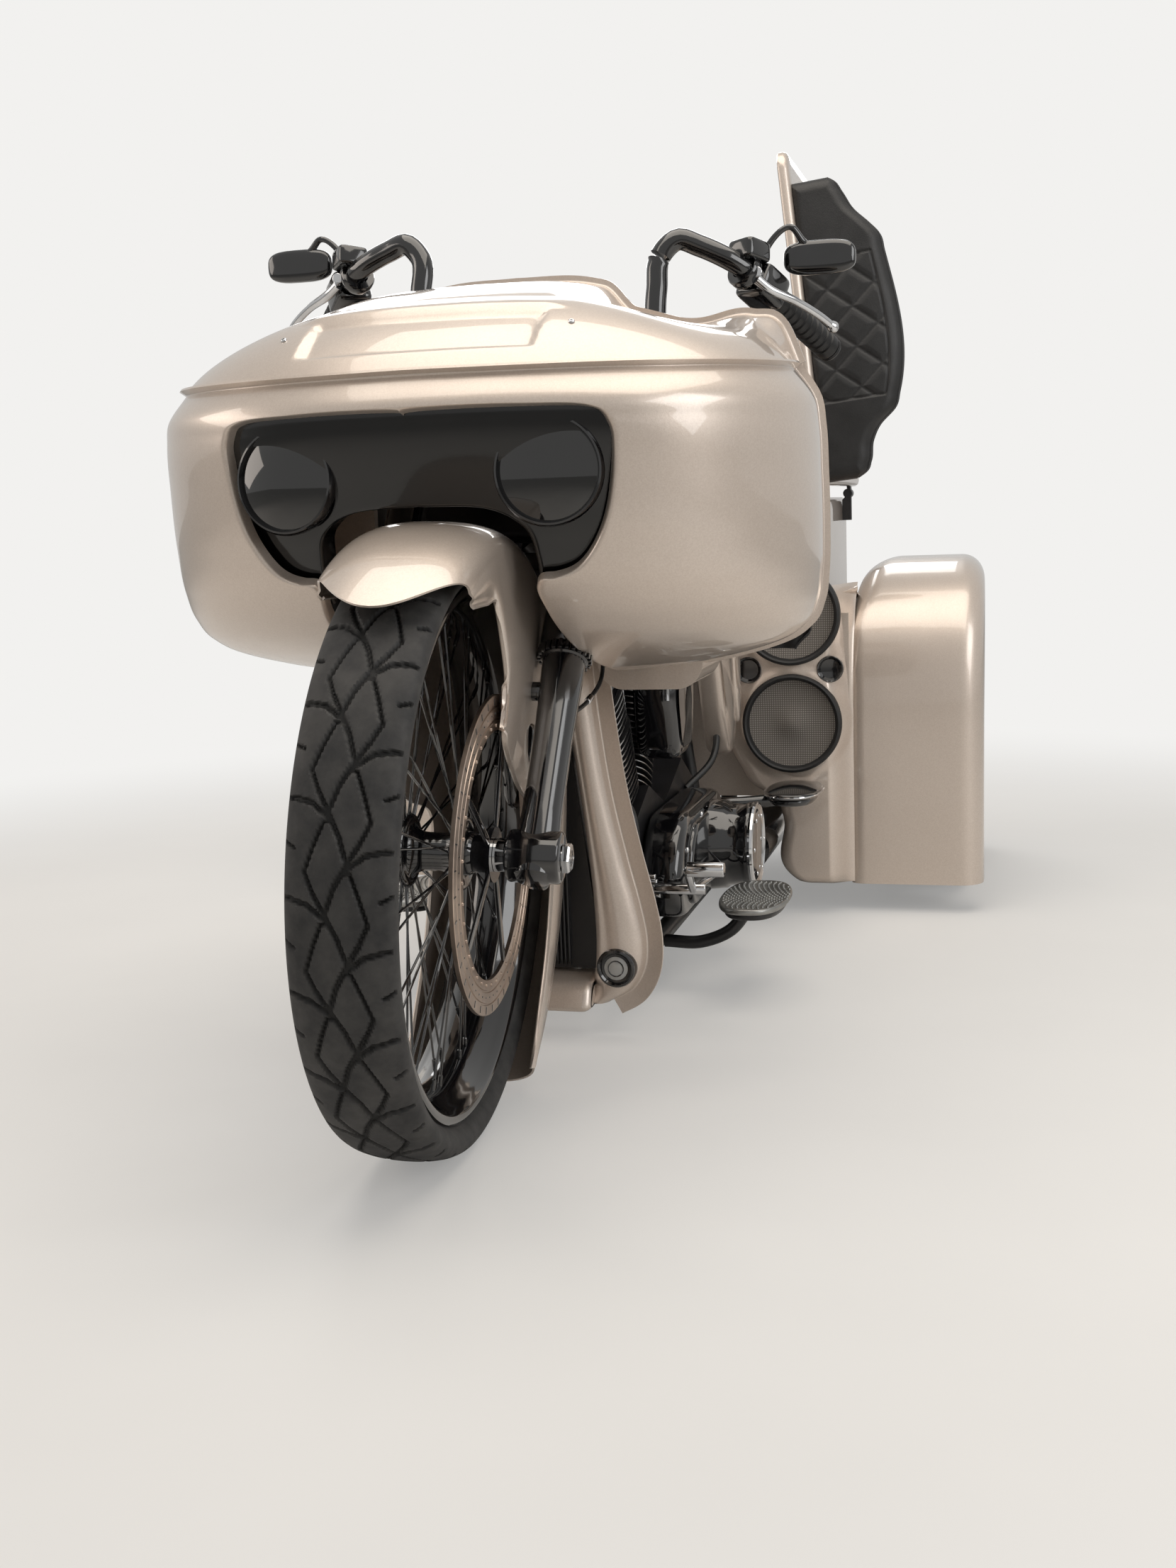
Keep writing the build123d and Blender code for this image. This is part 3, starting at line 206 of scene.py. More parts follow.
def lathe(profile, count=64, closed=True):
    """A profile of (height, radius) turned about Z: x and y are radius times the cosine and sine."""
    profile = np.asarray(profile, float)
    angle = np.linspace(0, 2 * math.pi, count, endpoint=False)
    height, radius = profile[:, 0][:, None], profile[:, 1][:, None]
    grid = np.stack([radius * np.cos(angle), radius * np.sin(angle), height + 0 * angle], -1)
    return sheet(grid, close_rows=closed, close_columns=True)


def turned_solid(profile, origin, axis, count=64, closed=True):
    """A lathe turning set with its axis along a direction at an origin."""
    return copies(lathe(profile, count, closed), placed(origin, axis))


def rounded_profile(height, radius, soft=0.002, steps=4):
    """The profile of a cylinder from 0 to height with rounded ends and closed at the axis."""
    a = np.linspace(0, math.pi / 2, steps)
    low = np.stack([soft - soft * np.cos(a), radius - soft + soft * np.sin(a)], -1)
    high = np.stack([height - soft + soft * np.sin(a), radius - soft + soft * np.cos(a)], -1)
    return np.concatenate([[[0, 0]], low, high, [[height, 0]]])


def pin(start, end, radius, count=24, soft=0.0015):
    """A round bar from start to end with rounded ends."""
    start, end = np.asarray(start, float), np.asarray(end, float)
    length = np.linalg.norm(end - start)
    soft = min(soft, radius * 0.6, length * 0.45)
    return turned_solid(rounded_profile(length, radius, soft), start, end - start, count, closed=False)


def tube(points, radius, rows=64, count=20, path=None):
    """A round tube along a smooth path: circles square to the path, closed by points at its ends."""
    path = smooth_path(points, rows) if path is None else path
    tangent = np.gradient(path, axis=0)
    tangent /= np.linalg.norm(tangent, axis=1, keepdims=True)
    spread = path.max(0) - path.min(0)
    guide = np.eye(3)[np.argmin(spread)] if min(spread) < 0.2 * max(spread) else np.array([0.31, 0.22, 0.93])
    side = np.cross(tangent, guide)
    side /= np.linalg.norm(side, axis=1, keepdims=True)
    other = np.cross(tangent, side)
    angle = np.linspace(0, 2 * math.pi, count, endpoint=False)[:, None]
    radius = np.broadcast_to(radius, (len(path),))[:, None, None]
    grid = path[:, None] + radius * (np.cos(angle) * side[:, None] + np.sin(angle) * other[:, None])
    ends = np.repeat(path[:1, None], count, 1), np.repeat(path[-1:, None], count, 1)
    return sheet(np.concatenate([ends[0], grid, ends[1]]), close_columns=True)


def bent(wave, power):
    """A sine or cosine raised to a power with its sign kept, as superellipses need."""
    return np.sign(wave) * np.abs(wave) ** power


def block(half, place=None, power=0.22, rows=24, columns=48):
    """A rounded box: a superellipsoid whose sines and cosines are raised to a small power."""
    lat = np.linspace(-math.pi / 2, math.pi / 2, rows)[:, None]
    lon = np.linspace(0, 2 * math.pi, columns, endpoint=False)[None]
    lon = lon + 0.25 * np.sin(4 * lon) * 0.9
    lat = lat + 0.22 * np.sin(4 * lat) * 0.9
    grid = np.stack([half[0] * bent(np.cos(lat), power) * bent(np.cos(lon), power),
                     half[1] * bent(np.cos(lat), power) * bent(np.sin(lon), power),
                     half[2] * bent(np.sin(lat), power) + 0 * lon], -1)
    part = sheet(grid, close_columns=True)
    return part if place is None else copies(part, place)


def hex_bolt(origin, axis, radius=0.006, height=0.005):
    """Hexagon heads: a six-sided lathe turning with a bevelled top."""
    head = lathe([[0, 0], [0, radius], [height * 0.8, radius], [height, radius * 0.8], [height, 0]], 6, False)
    return copies(head, placed(origin, axis))


def button_bolt(origin, axis, radius=0.005):
    """Domed bolt heads with a socket: a quarter circle falling to a flat-bottomed well."""
    a = np.linspace(0, math.pi / 2, 6)
    dome = np.stack([0.55 * radius * np.sin(a), radius * np.cos(a * 0.62)], -1)
    profile = np.concatenate([[[0, 0], [0, radius]], dome, [[0.5 * radius, 0.42 * radius],
                              [0.15 * radius, 0.4 * radius], [0.15 * radius, 0]]])
    return copies(lathe(profile, 16, False), placed(origin, axis))


def piece(name, part, material, body, *nodes, crease=35.0, attribute=None):
    """Put arrays into a mesh, close its seams and poles, and let it ride on a body."""
    verts, faces = part
    mesh = bpy.data.meshes.new(name)
    mesh.from_pydata(verts, [], faces.tolist())
    if attribute is not None:
        layer = mesh.attributes.new(attribute[0], "FLOAT", "POINT")
        layer.data.foreach_set("value", np.asarray(attribute[1], np.float32).ravel())
    work = bmesh.new()
    work.from_mesh(mesh)
    bmesh.ops.remove_doubles(work, verts=work.verts, dist=2e-6)
    bmesh.ops.dissolve_degenerate(work, dist=1e-7, edges=work.edges)
    bmesh.ops.recalc_face_normals(work, faces=work.faces)
    work.to_mesh(mesh)
    work.free()
    mesh.polygons.foreach_set("use_smooth", np.ones(len(mesh.polygons), bool))
    mesh.set_sharp_from_angle(angle=math.radians(crease))
    mesh.materials.append(material)
    obj = bpy.data.objects.new(name, mesh)
    bpy.context.scene.collection.objects.link(obj)
    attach(obj, body)
    if nodes:
        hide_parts(*nodes)
    return obj


# Materials

def linear(colour):
    """The linear colour of an sRGB hex value."""
    values = [int(colour[k:k + 2], 16) / 255 for k in (1, 3, 5)]
    return tuple(v / 12.92 if v <= 0.04045 else ((v + 0.055) / 1.055) ** 2.4 for v in values) + (1.0,)


def node(tree, kind, settings=None, links=None):
    """Add one node, set its sockets or properties, and link other nodes' outputs to its inputs."""
    made = tree.nodes.new(kind)
    for key, value in (settings or {}).items():
        if key in made.inputs:
            made.inputs[key].default_value = value
        else:
            setattr(made, key, value)
    for key, source in (links or {}).items():
        tree.links.new(source, made.inputs[key])
    return made


def begun(name, **settings):
    """A new material with its shader: returns the material, its tree, the shader and object coordinates."""
    material = bpy.data.materials.new(name)
    material.use_nodes = True
    tree = material.node_tree
    shader = tree.nodes["Principled BSDF"]
    for key, value in settings.items():
        shader.inputs[key.replace("_", " ")].default_value = value
    place = node(tree, "ShaderNodeTexCoord").outputs["Object"]
    return material, tree, shader, place


def varied(tree, shader, place, dark, light, scale):
    """Colour that wanders between two tones in soft patches."""
    noise = node(tree, "ShaderNodeTexNoise", {"Scale": scale, "Detail": 4.0}, {"Vector": place})
    ramp = node(tree, "ShaderNodeValToRGB", links={"Fac": noise.outputs["Fac"]})
    ramp.color_ramp.elements[0].position = 0.35
    ramp.color_ramp.elements[1].position = 0.65
    ramp.color_ramp.elements[0].color = linear(dark)
    ramp.color_ramp.elements[1].color = linear(light)
    tree.links.new(ramp.outputs["Color"], shader.inputs["Base Color"])


def roughened(tree, shader, place, low, high, scale):
    """Roughness that wanders between two values, as wiped or handled surfaces do."""
    noise = node(tree, "ShaderNodeTexNoise", {"Scale": scale, "Detail": 3.0}, {"Vector": place})
    span = node(tree, "ShaderNodeMapRange", {"To Min": low, "To Max": high}, {"Value": noise.outputs["Fac"]})
    tree.links.new(span.outputs["Result"], shader.inputs["Roughness"])


def bumped(tree, shader, height, strength, distance):
    """Relief from a height, distance deep in metres."""
    bump = node(tree, "ShaderNodeBump", {"Strength": strength, "Distance": distance}, {"Height": height})
    tree.links.new(bump.outputs["Normal"], shader.inputs["Normal"])


def pearl_paint():
    """Champagne pearl: metal flakes in a base coat under thick polished clear coat. The flakes are drawn 1.6 mm
    apart, coarser than the real 0.1 mm, so that they show; the clear coat stays smooth over them."""
    material, tree, shader, place = begun(
        "champagne_pearl_paint", Metallic=0.5, Coat_Weight=1.0, Coat_Roughness=0.035, Coat_IOR=1.5)
    flakes = node(tree, "ShaderNodeTexVoronoi", {"Scale": 1 / 0.0016}, {"Vector": place})
    flake_tone = node(tree, "ShaderNodeValToRGB", links={"Fac": flakes.outputs["Color"]})
    flake_tone.color_ramp.elements[0].color = linear("#BFB0A4")
    flake_tone.color_ramp.elements[1].color = linear("#DED3C8")
    cloud = node(tree, "ShaderNodeTexNoise", {"Scale": 5.0, "Detail": 2.0}, {"Vector": place})
    cloud_tone = node(tree, "ShaderNodeValToRGB", links={"Fac": cloud.outputs["Fac"]})
    cloud_tone.color_ramp.elements[0].color = linear("#C8BAAE")
    cloud_tone.color_ramp.elements[1].color = linear("#D2C5BA")
    mix = node(tree, "ShaderNodeMix", {"data_type": "RGBA", "blend_type": "MIX"})
    mix.inputs[0].default_value = 0.35
    tree.links.new(cloud_tone.outputs["Color"], mix.inputs[6])
    tree.links.new(flake_tone.outputs["Color"], mix.inputs[7])
    tree.links.new(mix.outputs[2], shader.inputs["Base Color"])
    roughened(tree, shader, place, 0.30, 0.40, 14.0)
    bumped(tree, shader, flakes.outputs["Distance"], 0.10, 0.0004)
    return material


def black_paint(name, low, high, coat, tone="#0B0B0D", light="#121215"):
    """Black powder coat or enamel: an even film with faint orange peel 2 mm across."""
    material, tree, shader, place = begun(name, Coat_Weight=coat, Coat_Roughness=0.05)
    shader.inputs["Specular IOR Level"].default_value = 0.5
    varied(tree, shader, place, tone, light, 18.0)
    roughened(tree, shader, place, low, high, 22.0)
    peel = node(tree, "ShaderNodeTexNoise", {"Scale": 1 / 0.002, "Detail": 1.0}, {"Vector": place})
    bumped(tree, shader, peel.outputs["Fac"], 0.10, 0.00015)
    return material


def metal(name, dark, light, low, high, grain=None):
    """A bare or plated metal: full metallic, with wiping marks in its roughness and a fine turned grain."""
    material, tree, shader, place = begun(name, Metallic=1.0)
    varied(tree, shader, place, dark, light, 30.0)
    roughened(tree, shader, place, low, high, 45.0)
    if grain:
        lines = node(tree, "ShaderNodeTexNoise", {"Scale": 1 / grain, "Detail": 2.0}, {"Vector": place})
        bumped(tree, shader, lines.outputs["Fac"], 0.25, 0.0002)
    return material


def tyre_rubber():
    """Cured black rubber: matt grey-black with a dusty bloom, smoother and darker down in the grooves, where the
    darkening is painted shade.
    """
    material, tree, shader, place = begun("cured_tyre_rubber")
    shader.inputs["Specular IOR Level"].default_value = 0.35
    groove = node(tree, "ShaderNodeAttribute", {"attribute_name": "groove"}).outputs["Fac"]
    dust = node(tree, "ShaderNodeTexNoise", {"Scale": 26.0, "Detail": 6.0, "Roughness": 0.6}, {"Vector": place})
    tone = node(tree, "ShaderNodeValToRGB", links={"Fac": dust.outputs["Fac"]})
    tone.color_ramp.elements[0].position = 0.35
    tone.color_ramp.elements[1].position = 0.72
    tone.color_ramp.elements[0].color = linear("#2B2B2C")
    tone.color_ramp.elements[1].color = linear("#454443")
    # The groove share blends the colour down to near black in the grooves: painted shade in the recesses.
    mix = node(tree, "ShaderNodeMix", {"data_type": "RGBA"})
    tree.links.new(groove, mix.inputs[0])
    tree.links.new(tone.outputs["Color"], mix.inputs[6])
    mix.inputs[7].default_value = linear("#0A0A0A")
    tree.links.new(mix.outputs[2], shader.inputs["Base Color"])
    roughened(tree, shader, place, 0.52, 0.72, 60.0)
    grain = node(tree, "ShaderNodeTexNoise", {"Scale": 1 / 0.0015, "Detail": 3.0}, {"Vector": place})
    bumped(tree, shader, grain.outputs["Fac"], 0.2, 0.0003)
    return material


def hide(name, dark, light):
    """Black upholstery leather: pebbled grain drawn 2.4 mm across, semi-matt with polished high spots."""
    material, tree, shader, place = begun(name, Coat_Weight=0.08, Coat_Roughness=0.4)
    varied(tree, shader, place, dark, light, 24.0)
    roughened(tree, shader, place, 0.42, 0.58, 40.0)
    pebble = node(tree, "ShaderNodeTexVoronoi", {"Scale": 1 / 0.0024, "feature": "SMOOTH_F1"}, {"Vector": place})
    fold = node(tree, "ShaderNodeTexNoise", {"Scale": 90.0, "Detail": 4.0}, {"Vector": place})
    both = node(tree, "ShaderNodeMath", {"operation": "ADD"})
    tree.links.new(pebble.outputs["Distance"], both.inputs[0])
    tree.links.new(fold.outputs["Fac"], both.inputs[1])
    bumped(tree, shader, both.outputs["Value"], 0.35, 0.0005)
    return material


def speaker_cloth():
    """Fine woven speaker mesh: a square weave of threads 2.2 mm apart, pale grey, matt."""
    material, tree, shader, place = begun("woven_speaker_mesh", Roughness=0.75)
    shader.inputs["Specular IOR Level"].default_value = 0.3
    across, along = (node(tree, "ShaderNodeTexWave", {"Scale": 1 / 0.0022 / 6.283, "bands_direction": way},
                          {"Vector": place}) for way in "XZ")
    weave = node(tree, "ShaderNodeMath", {"operation": "MULTIPLY"})
    tree.links.new(across.outputs["Fac"], weave.inputs[0])
    tree.links.new(along.outputs["Fac"], weave.inputs[1])
    tone = node(tree, "ShaderNodeValToRGB", links={"Fac": weave.outputs["Value"]})
    tone.color_ramp.elements[0].color = linear("#5F5B57")
    tone.color_ramp.elements[1].color = linear("#9C9791")
    tree.links.new(tone.outputs["Color"], shader.inputs["Base Color"])
    bumped(tree, shader, weave.outputs["Value"], 0.5, 0.0006)
    return material


def smoked_lens(name, colour, roughness=0.04):
    """Smoked or tinted lamp glass under a polished coat, opaque so that it hides the lamp's inside."""
    material, tree, shader, place = begun(name, Coat_Weight=1.0, Coat_Roughness=0.02)
    varied(tree, shader, place, colour, colour, 8.0)
    roughened(tree, shader, place, roughness, roughness + 0.04, 20.0)
    return material


pearl = pearl_paint()
gloss_black = black_paint("gloss_black_powder_coat", 0.06, 0.14, 1.0)
satin_black = black_paint("satin_black_engine_enamel", 0.32, 0.46, 0.15, "#111113", "#1A1A1D")
liner_black = black_paint("gloss_black_moulded_abs", 0.10, 0.18, 0.25, "#050506", "#09090A")
moulded_black = black_paint("textured_black_nylon", 0.5, 0.65, 0.0, "#131314", "#1C1C1E")
chrome = metal("chrome_plate", "#C9CACC", "#D8D9DB", 0.04, 0.10)
ring_steel = metal("champagne_ground_steel", "#A8978B", "#C0AEA0", 0.26, 0.38, 0.003)
fin_edge = metal("machined_fin_edge_aluminium", "#A9A9A9", "#C4C4C4", 0.2, 0.3, 0.002)
cast_silver = metal("cast_aluminium", "#8E8E8C", "#A5A5A2", 0.3, 0.42, 0.002)
rubber = tyre_rubber()
leather = hide("black_upholstery_leather", "#151516", "#202021")
mesh_cloth = speaker_cloth()
lamp_glass = smoked_lens("smoked_lamp_glass", "#050506")
fog_glass = smoked_lens("pale_fog_lamp_glass", "#A8A8A6", 0.12)
red_glass = smoked_lens("red_lamp_lens", "#5A0507", 0.08)
carpet = black_paint("black_trunk_carpet", 0.85, 0.95, 0.0, "#121212", "#222222")
hose_rubber = black_paint("black_hose_rubber", 0.35, 0.5, 0.0, "#0D0D0E", "#161617")


# Camera, lights and floor

def studio():
    """The photograph's camera, a pale floor and soft overhead and side light."""
    scene = bpy.context.scene
    scene.view_settings.view_transform = "Standard"
    yaw, pitch, roll = math.radians(15.0), math.radians(9.09), math.radians(2.11)
    flat = np.array([-math.sin(yaw), math.cos(yaw), 0])
    forward = flat * math.cos(pitch) - np.array([0, 0, math.sin(pitch)])
    level_right = np.array([math.cos(yaw), math.sin(yaw), 0])
    level_up = np.cross(level_right, forward)
    right = level_right * math.cos(roll) - level_up * math.sin(roll)
    up = level_up * math.cos(roll) + level_right * math.sin(roll)
    data = bpy.data.cameras.new("photo_camera")
    data.sensor_fit = "VERTICAL"
    data.sensor_height = 24.0
    data.lens = 24.0 * 2400.0 / 2212.0
    data.clip_end = 100.0
    camera = bpy.data.objects.new("photo_camera", data)
    scene.collection.objects.link(camera)
    matrix = np.eye(4)
    matrix[:3, 0], matrix[:3, 1], matrix[:3, 2] = right, up, -forward
    matrix[:3, 3] = (0.7527, -2.8684, 0.8143)
    camera.matrix_world = Matrix(matrix.tolist())
    scene.camera = camera

    def lamp(name, place, target, size, power, tint):
        light = bpy.data.lights.new(name, "AREA")
        light.shape = "RECTANGLE"
        light.size, light.size_y = size
        light.energy = power
        light.color = linear(tint)[:3]
        obj = bpy.data.objects.new(name, light)
        scene.collection.objects.link(obj)
        back = np.asarray(place, float) - np.asarray(target, float)
        obj.matrix_world = Matrix(placed(place, back)[0].tolist())

    lamp("overhead_softbox", (0.4, -0.6, 3.4), (0, 0.1, 0.4), (3.4, 3.0), 74.0, "#FFF6EA")
    lamp("left_softbox", (3.2, -1.6, 1.9), (0, -0.2, 0.5), (1.6, 2.2), 34.0, "#FFFFFF")
    lamp("right_softbox", (-3.2, -1.4, 2.0), (0, -0.2, 0.5), (1.4, 2.4), 26.0, "#FFF3E8")
    lamp("rear_softbox", (-0.8, 3.2, 2.4), (0, 0.4, 0.6), (2.6, 1.6), 30.0, "#FFFFFF")

    world = bpy.data.worlds.new("studio_walls")
    world.use_nodes = True
    tree = world.node_tree
    shade = tree.nodes["Background"]
    shade.inputs["Color"].default_value = linear("#D9D7D3")
    shade.inputs["Strength"].default_value = 0.42
    plain = node(tree, "ShaderNodeBackground", {"Color": linear("#F2F1EF"), "Strength": 1.0})
    rays = node(tree, "ShaderNodeLightPath")
    seen = node(tree, "ShaderNodeMath", {"operation": "MAXIMUM"})
    tree.links.new(rays.outputs["Is Camera Ray"], seen.inputs[0])
    tree.links.new(rays.outputs["Is Transmission Ray"], seen.inputs[1])
    glossy = node(tree, "ShaderNodeMath", {"operation": "MULTIPLY"}, {0: rays.outputs["Is Glossy Ray"]})
    glossy.inputs[1].default_value = 0.45
    either = node(tree, "ShaderNodeMath", {"operation": "MAXIMUM"}, {0: seen.outputs[0], 1: glossy.outputs[0]})
    mix = node(tree, "ShaderNodeMixShader", links={0: either.outputs[0], 1: shade.outputs[0], 2: plain.outputs[0]})
    tree.links.new(mix.outputs[0], tree.nodes["World Output"].inputs["Surface"])
    scene.world = world

    material, tree, shader, place = begun("pale_studio_floor", Roughness=0.6)
    varied(tree, shader, place, "#E4E3E1", "#EAE9E7", 1.2)
    spread = node(tree, "ShaderNodeVectorMath", {"operation": "LENGTH"}, {0: place})
    far = node(tree, "ShaderNodeMapRange", {"interpolation_type": "SMOOTHSTEP", "From Min": 1.5, "From Max": 3.4,
                                            "To Min": 0.30, "To Max": 1.0}, {"Value": spread.outputs["Value"]})
    rays = node(tree, "ShaderNodeLightPath")
    share = node(tree, "ShaderNodeMath", {"operation": "MULTIPLY"},
                 {0: rays.outputs["Is Camera Ray"], 1: far.outputs["Result"]})
    glow = node(tree, "ShaderNodeEmission", {"Color": linear("#F2F1EF"), "Strength": 1.0})
    mix = node(tree, "ShaderNodeMixShader", links={0: share.outputs[0], 1: shader.outputs[0], 2: glow.outputs[0]})
    tree.links.new(mix.outputs[0], tree.nodes["Material Output"].inputs["Surface"])
    grid = np.linspace(-14, 14, 15)
    x, y = np.meshgrid(grid, grid, indexing="ij")
    verts, faces = sheet(np.stack([x, y, 0 * x], -1))
    mesh = bpy.data.meshes.new("studio_floor")
    mesh.from_pydata(verts, [], faces.tolist())
    mesh.materials.append(material)
    floor = bpy.data.objects.new("studio_floor", mesh)
    scene.collection.objects.link(floor)


# Fairing

FAIRING_LEVELS = [0.590, 0.600, 0.612, 0.628, 0.650, 0.680, 0.720, 0.780, 0.860, 0.925, 0.948, 0.985]
FAIRING_HALF_W = [0.200, 0.290, 0.350, 0.405, 0.440, 0.456, 0.462, 0.464, 0.463, 0.460, 0.456, 0.428]
FAIRING_NOSE = [0.318, 0.262, 0.215, 0.165, 0.112, 0.062, 0.022, -0.006, -0.026, -0.037, -0.038, -0.016]


def fairing_point(p, z):
    """The fairing's skin. Each level cut is half a superellipse, |x/W|^2.7 + |(c - y)/L|^2 = 1, from the nose to
    the widest place, and then a short run to the rear; p goes from 0 at the nose to 1 at the rear edge, with its
    sign for the side. W and the nose change with height along smooth curves; the belly closes in below."""
    half = through(FAIRING_LEVELS, FAIRING_HALF_W, z)
    front = through(FAIRING_LEVELS, FAIRING_NOSE, z)
    widest, rear = 0.335, 0.430
    side = np.sign(p)
    share = np.abs(p)
    angle = np.minimum(share / 0.86, 1) * math.pi / 2
    run = np.clip((share - 0.86) / 0.14, 0, 1)
    x = half * np.sin(angle) ** (2 / 2.7) * (1 - 0.018 * run ** 2)
    back = widest - (widest - front) * np.cos(angle) + (rear - widest) * run
    lift = 0.016 * share ** 2 * ease(z, 0.90, 0.985)
    return at(side * x, back, z + lift)


def share_of(x, z):
    """The p of the fairing skin where it passes x at height z: the section's formula solved for its angle."""
    ratio = np.clip(np.abs(x) / through(FAIRING_LEVELS, FAIRING_HALF_W, z), 0, 1)
    return 0.86 * np.arcsin(ratio ** (2.7 / 2)) / (math.pi / 2)


MOUTH_EDGE = np.array([
    # along, x, z, then p and z on the outer edge
    [0.00, 0.172, 0.590, 1.00, 0.590], [0.08, 0.163, 0.640, 1.00, 0.598], [0.16, 0.155, 0.690, 1.00, 0.610],
    [0.215, 0.152, 0.722, 1.00, 0.622], [0.235, 0.158, 0.730, 1.00, 0.630], [0.27, 0.178, 0.733, 1.00, 0.646],
    [0.33, 0.208, 0.746, 1.00, 0.686], [0.39, 0.233, 0.776, 1.00, 0.740], [0.45, 0.249, 0.812, 1.00, 0.800],
    [0.51, 0.258, 0.852, 1.00, 0.866], [0.56, 0.2625, 0.888, 1.00, 0.930], [0.61, 0.2615, 0.914, 1.00, 0.985],
    [0.65, 0.253, 0.931, 0.92, 0.985], [0.70, 0.236, 0.940, 0.80, 0.985], [0.82, 0.150, 0.946, 0.46, 0.985],
    [1.00, 0.000, 0.948, 0.00, 0.985]])


def rolled(grid, radius, flange=0.0, steps=6):
    """Rows before a grid's first row that roll its edge inwards: a quarter circle, then a straight flange."""
    edge = grid[0]
    out = edge - grid[1]
    out /= np.maximum(np.linalg.norm(out, axis=-1, keepdims=True), 1e-9)
    up = normals(grid)[0]
    rows = [edge + out * radius * math.sin(a) - up * radius * (1 - math.cos(a))
            for a in np.linspace(0, math.pi / 2, steps)[1:]]
    if flange:
        rows.append(rows[-1] - up * flange)
    return np.concatenate([np.array(rows[::-1]), grid])


def fairing_shell():
    """The lower fairing: between the mouth's outline and the outer edge, points run straight in (p, z)."""
    t = np.linspace(0, 1, 150)
    edge = through(MOUTH_EDGE[:, 0], MOUTH_EDGE[:, 1:], t)
    inner_p = share_of(edge[:, 0], edge[:, 1])
    inner_z = edge[:, 1]
    outer_p = np.interp(t, MOUTH_EDGE[:, 0], MOUTH_EDGE[:, 3])
    outer_z = np.interp(t, MOUTH_EDGE[:, 0], MOUTH_EDGE[:, 4])
    r = np.linspace(0, 1, 80)[:, None] ** 1.15
    p = inner_p + (outer_p - inner_p) * r
    z = inner_z + (outer_z - inner_z) * r
    right = fairing_point(-p, z)
    left = fairing_point(p, z)[:, ::-1]
    grid = np.concatenate([right, left[:, 1:]], axis=1)
    way = normals(grid)
    if way[40, 75, 2] - way[40, 150, 1] < 0:
        grid = grid[:, ::-1]
    grid = rolled(grid, 0.006, 0.012)
    grid = rolled(grid[::-1], 0.0025, 0.008)[::-1]
    return walled(grid, 0.0035)


def cap_grid():
    """The cap: each line runs from the seam, rising on the lower part's slope, to the rear edge; it is a cubic
    Bezier curve. A slot is pressed in over the nose and a dish in each shoulder."""
    p = np.linspace(-1, 1, 221)[None]
    r = np.linspace(0, 1, 110)[:, None]
    start = fairing_point(p, np.full_like(p, SEAM_Z)) + [0, 0, 0.0035]
    below = fairing_point(p, np.full_like(p, SEAM_Z - 0.01)) + [0, 0, 0.0035]
    lean = start - below
    lean /= np.linalg.norm(lean, axis=-1, keepdims=True)
    share = np.abs(p)
    x_end = 0.424 * np.sign(p) * share ** 1.12
    z_end = through([0, 0.10, 0.20, 0.28, 0.36, 0.405, 0.424],
                    [1.150, 1.146, 1.118, 1.094, 1.080, 1.056, 1.008], np.abs(x_end))
    d_end = 0.478 - 0.046 * ease(np.abs(x_end), 0.05, 0.40)
    end = at(x_end, d_end, z_end)
    reach = np.linalg.norm(end - start, axis=-1, keepdims=True)
    up_pull = lean * reach * 0.30
    flat_pull = np.stack([0 * p, 1 + 0 * p, 0.10 + 0 * p], -1) * reach * 0.36
    s = r[..., None]
    grid = ((1 - s) ** 3 * start + 3 * (1 - s) ** 2 * s * (start + up_pull)
            + 3 * (1 - s) * s ** 2 * (end - flat_pull) + s ** 3 * end)
    x = grid[..., 0]
    d = grid[..., 1] - FRONT_AXLE_Y
    inner = ease(np.abs(x), 0.135, 0.190) * (1 - ease(np.abs(x), 0.25, 0.375))
    dish = inner * ease(d, 0.12, 0.30)
    front = fairing_point(share_of(np.abs(x), np.full_like(x, SEAM_Z)), np.full_like(x, SEAM_Z))[..., 1]
    rise = grid[..., 1] - front
    slot = (ease(rise, 0.022, 0.030) * (1 - ease(rise, 0.088, 0.100))
            * (1 - ease(np.abs(x), 0.148, 0.160)))
    lip = ease(rise, 0.100, 0.106) * (1 - ease(rise, 0.106, 0.150)) * (1 - ease(np.abs(x), 0.15, 0.19))
    push = -0.026 * dish - 0.007 * slot + 0.004 * lip
    up = normals(grid)
    up = up * np.sign(up[55, 110, 2])
    return grid + up * push[..., None], up


def fairing_cap():
    """The cap with rolled edges and a wall."""
    grid = rolled(facing(cap_grid()[0], 55, 110, 2), 0.0025, 0.006)
    grid = rolled(grid[::-1], 0.004, 0.006)[::-1]
    return walled(grid, 0.0035)


def mouth_liner():
    """The gloss black liner: the fairing skin sunk by 17 mm, and by up to 29 mm low down, from an arch over the
    wheel out past the mouth."""
    t = np.linspace(0, 1, 90)
    outer = through([0, 0.2, 0.4, 0.6, 0.8, 1.0],
                    [[0.20, 0.705], [0.262, 0.745], [0.286, 0.84], [0.284, 0.935], [0.17, 0.962], [0, 0.965]], t)
    inner = through([0, 0.25, 0.5, 0.75, 1.0],
                    [[0.150, 0.705], [0.150, 0.76], [0.138, 0.80], [0.09, 0.826], [0, 0.832]], t)
    r = np.linspace(0, 1, 40)[:, None]
    x = inner[:, 0] + (outer[:, 0] - inner[:, 0]) * r
    z = inner[:, 1] + (outer[:, 1] - inner[:, 1]) * r
    skin = fairing_point(share_of(x, z), z)
    sink = 0.017 + 0.012 * ease(0.93 - z, 0.0, 0.12)
    left = skin + np.stack([0 * x, sink, 0 * x], -1)
    right = (left * [-1, 1, 1])[:, ::-1]
    grid = np.concatenate([left, right[:, 1:]], axis=1)
    return walled(rolled(facing(grid, 20, 40, 1, -1), 0.006, 0.03), 0.003)


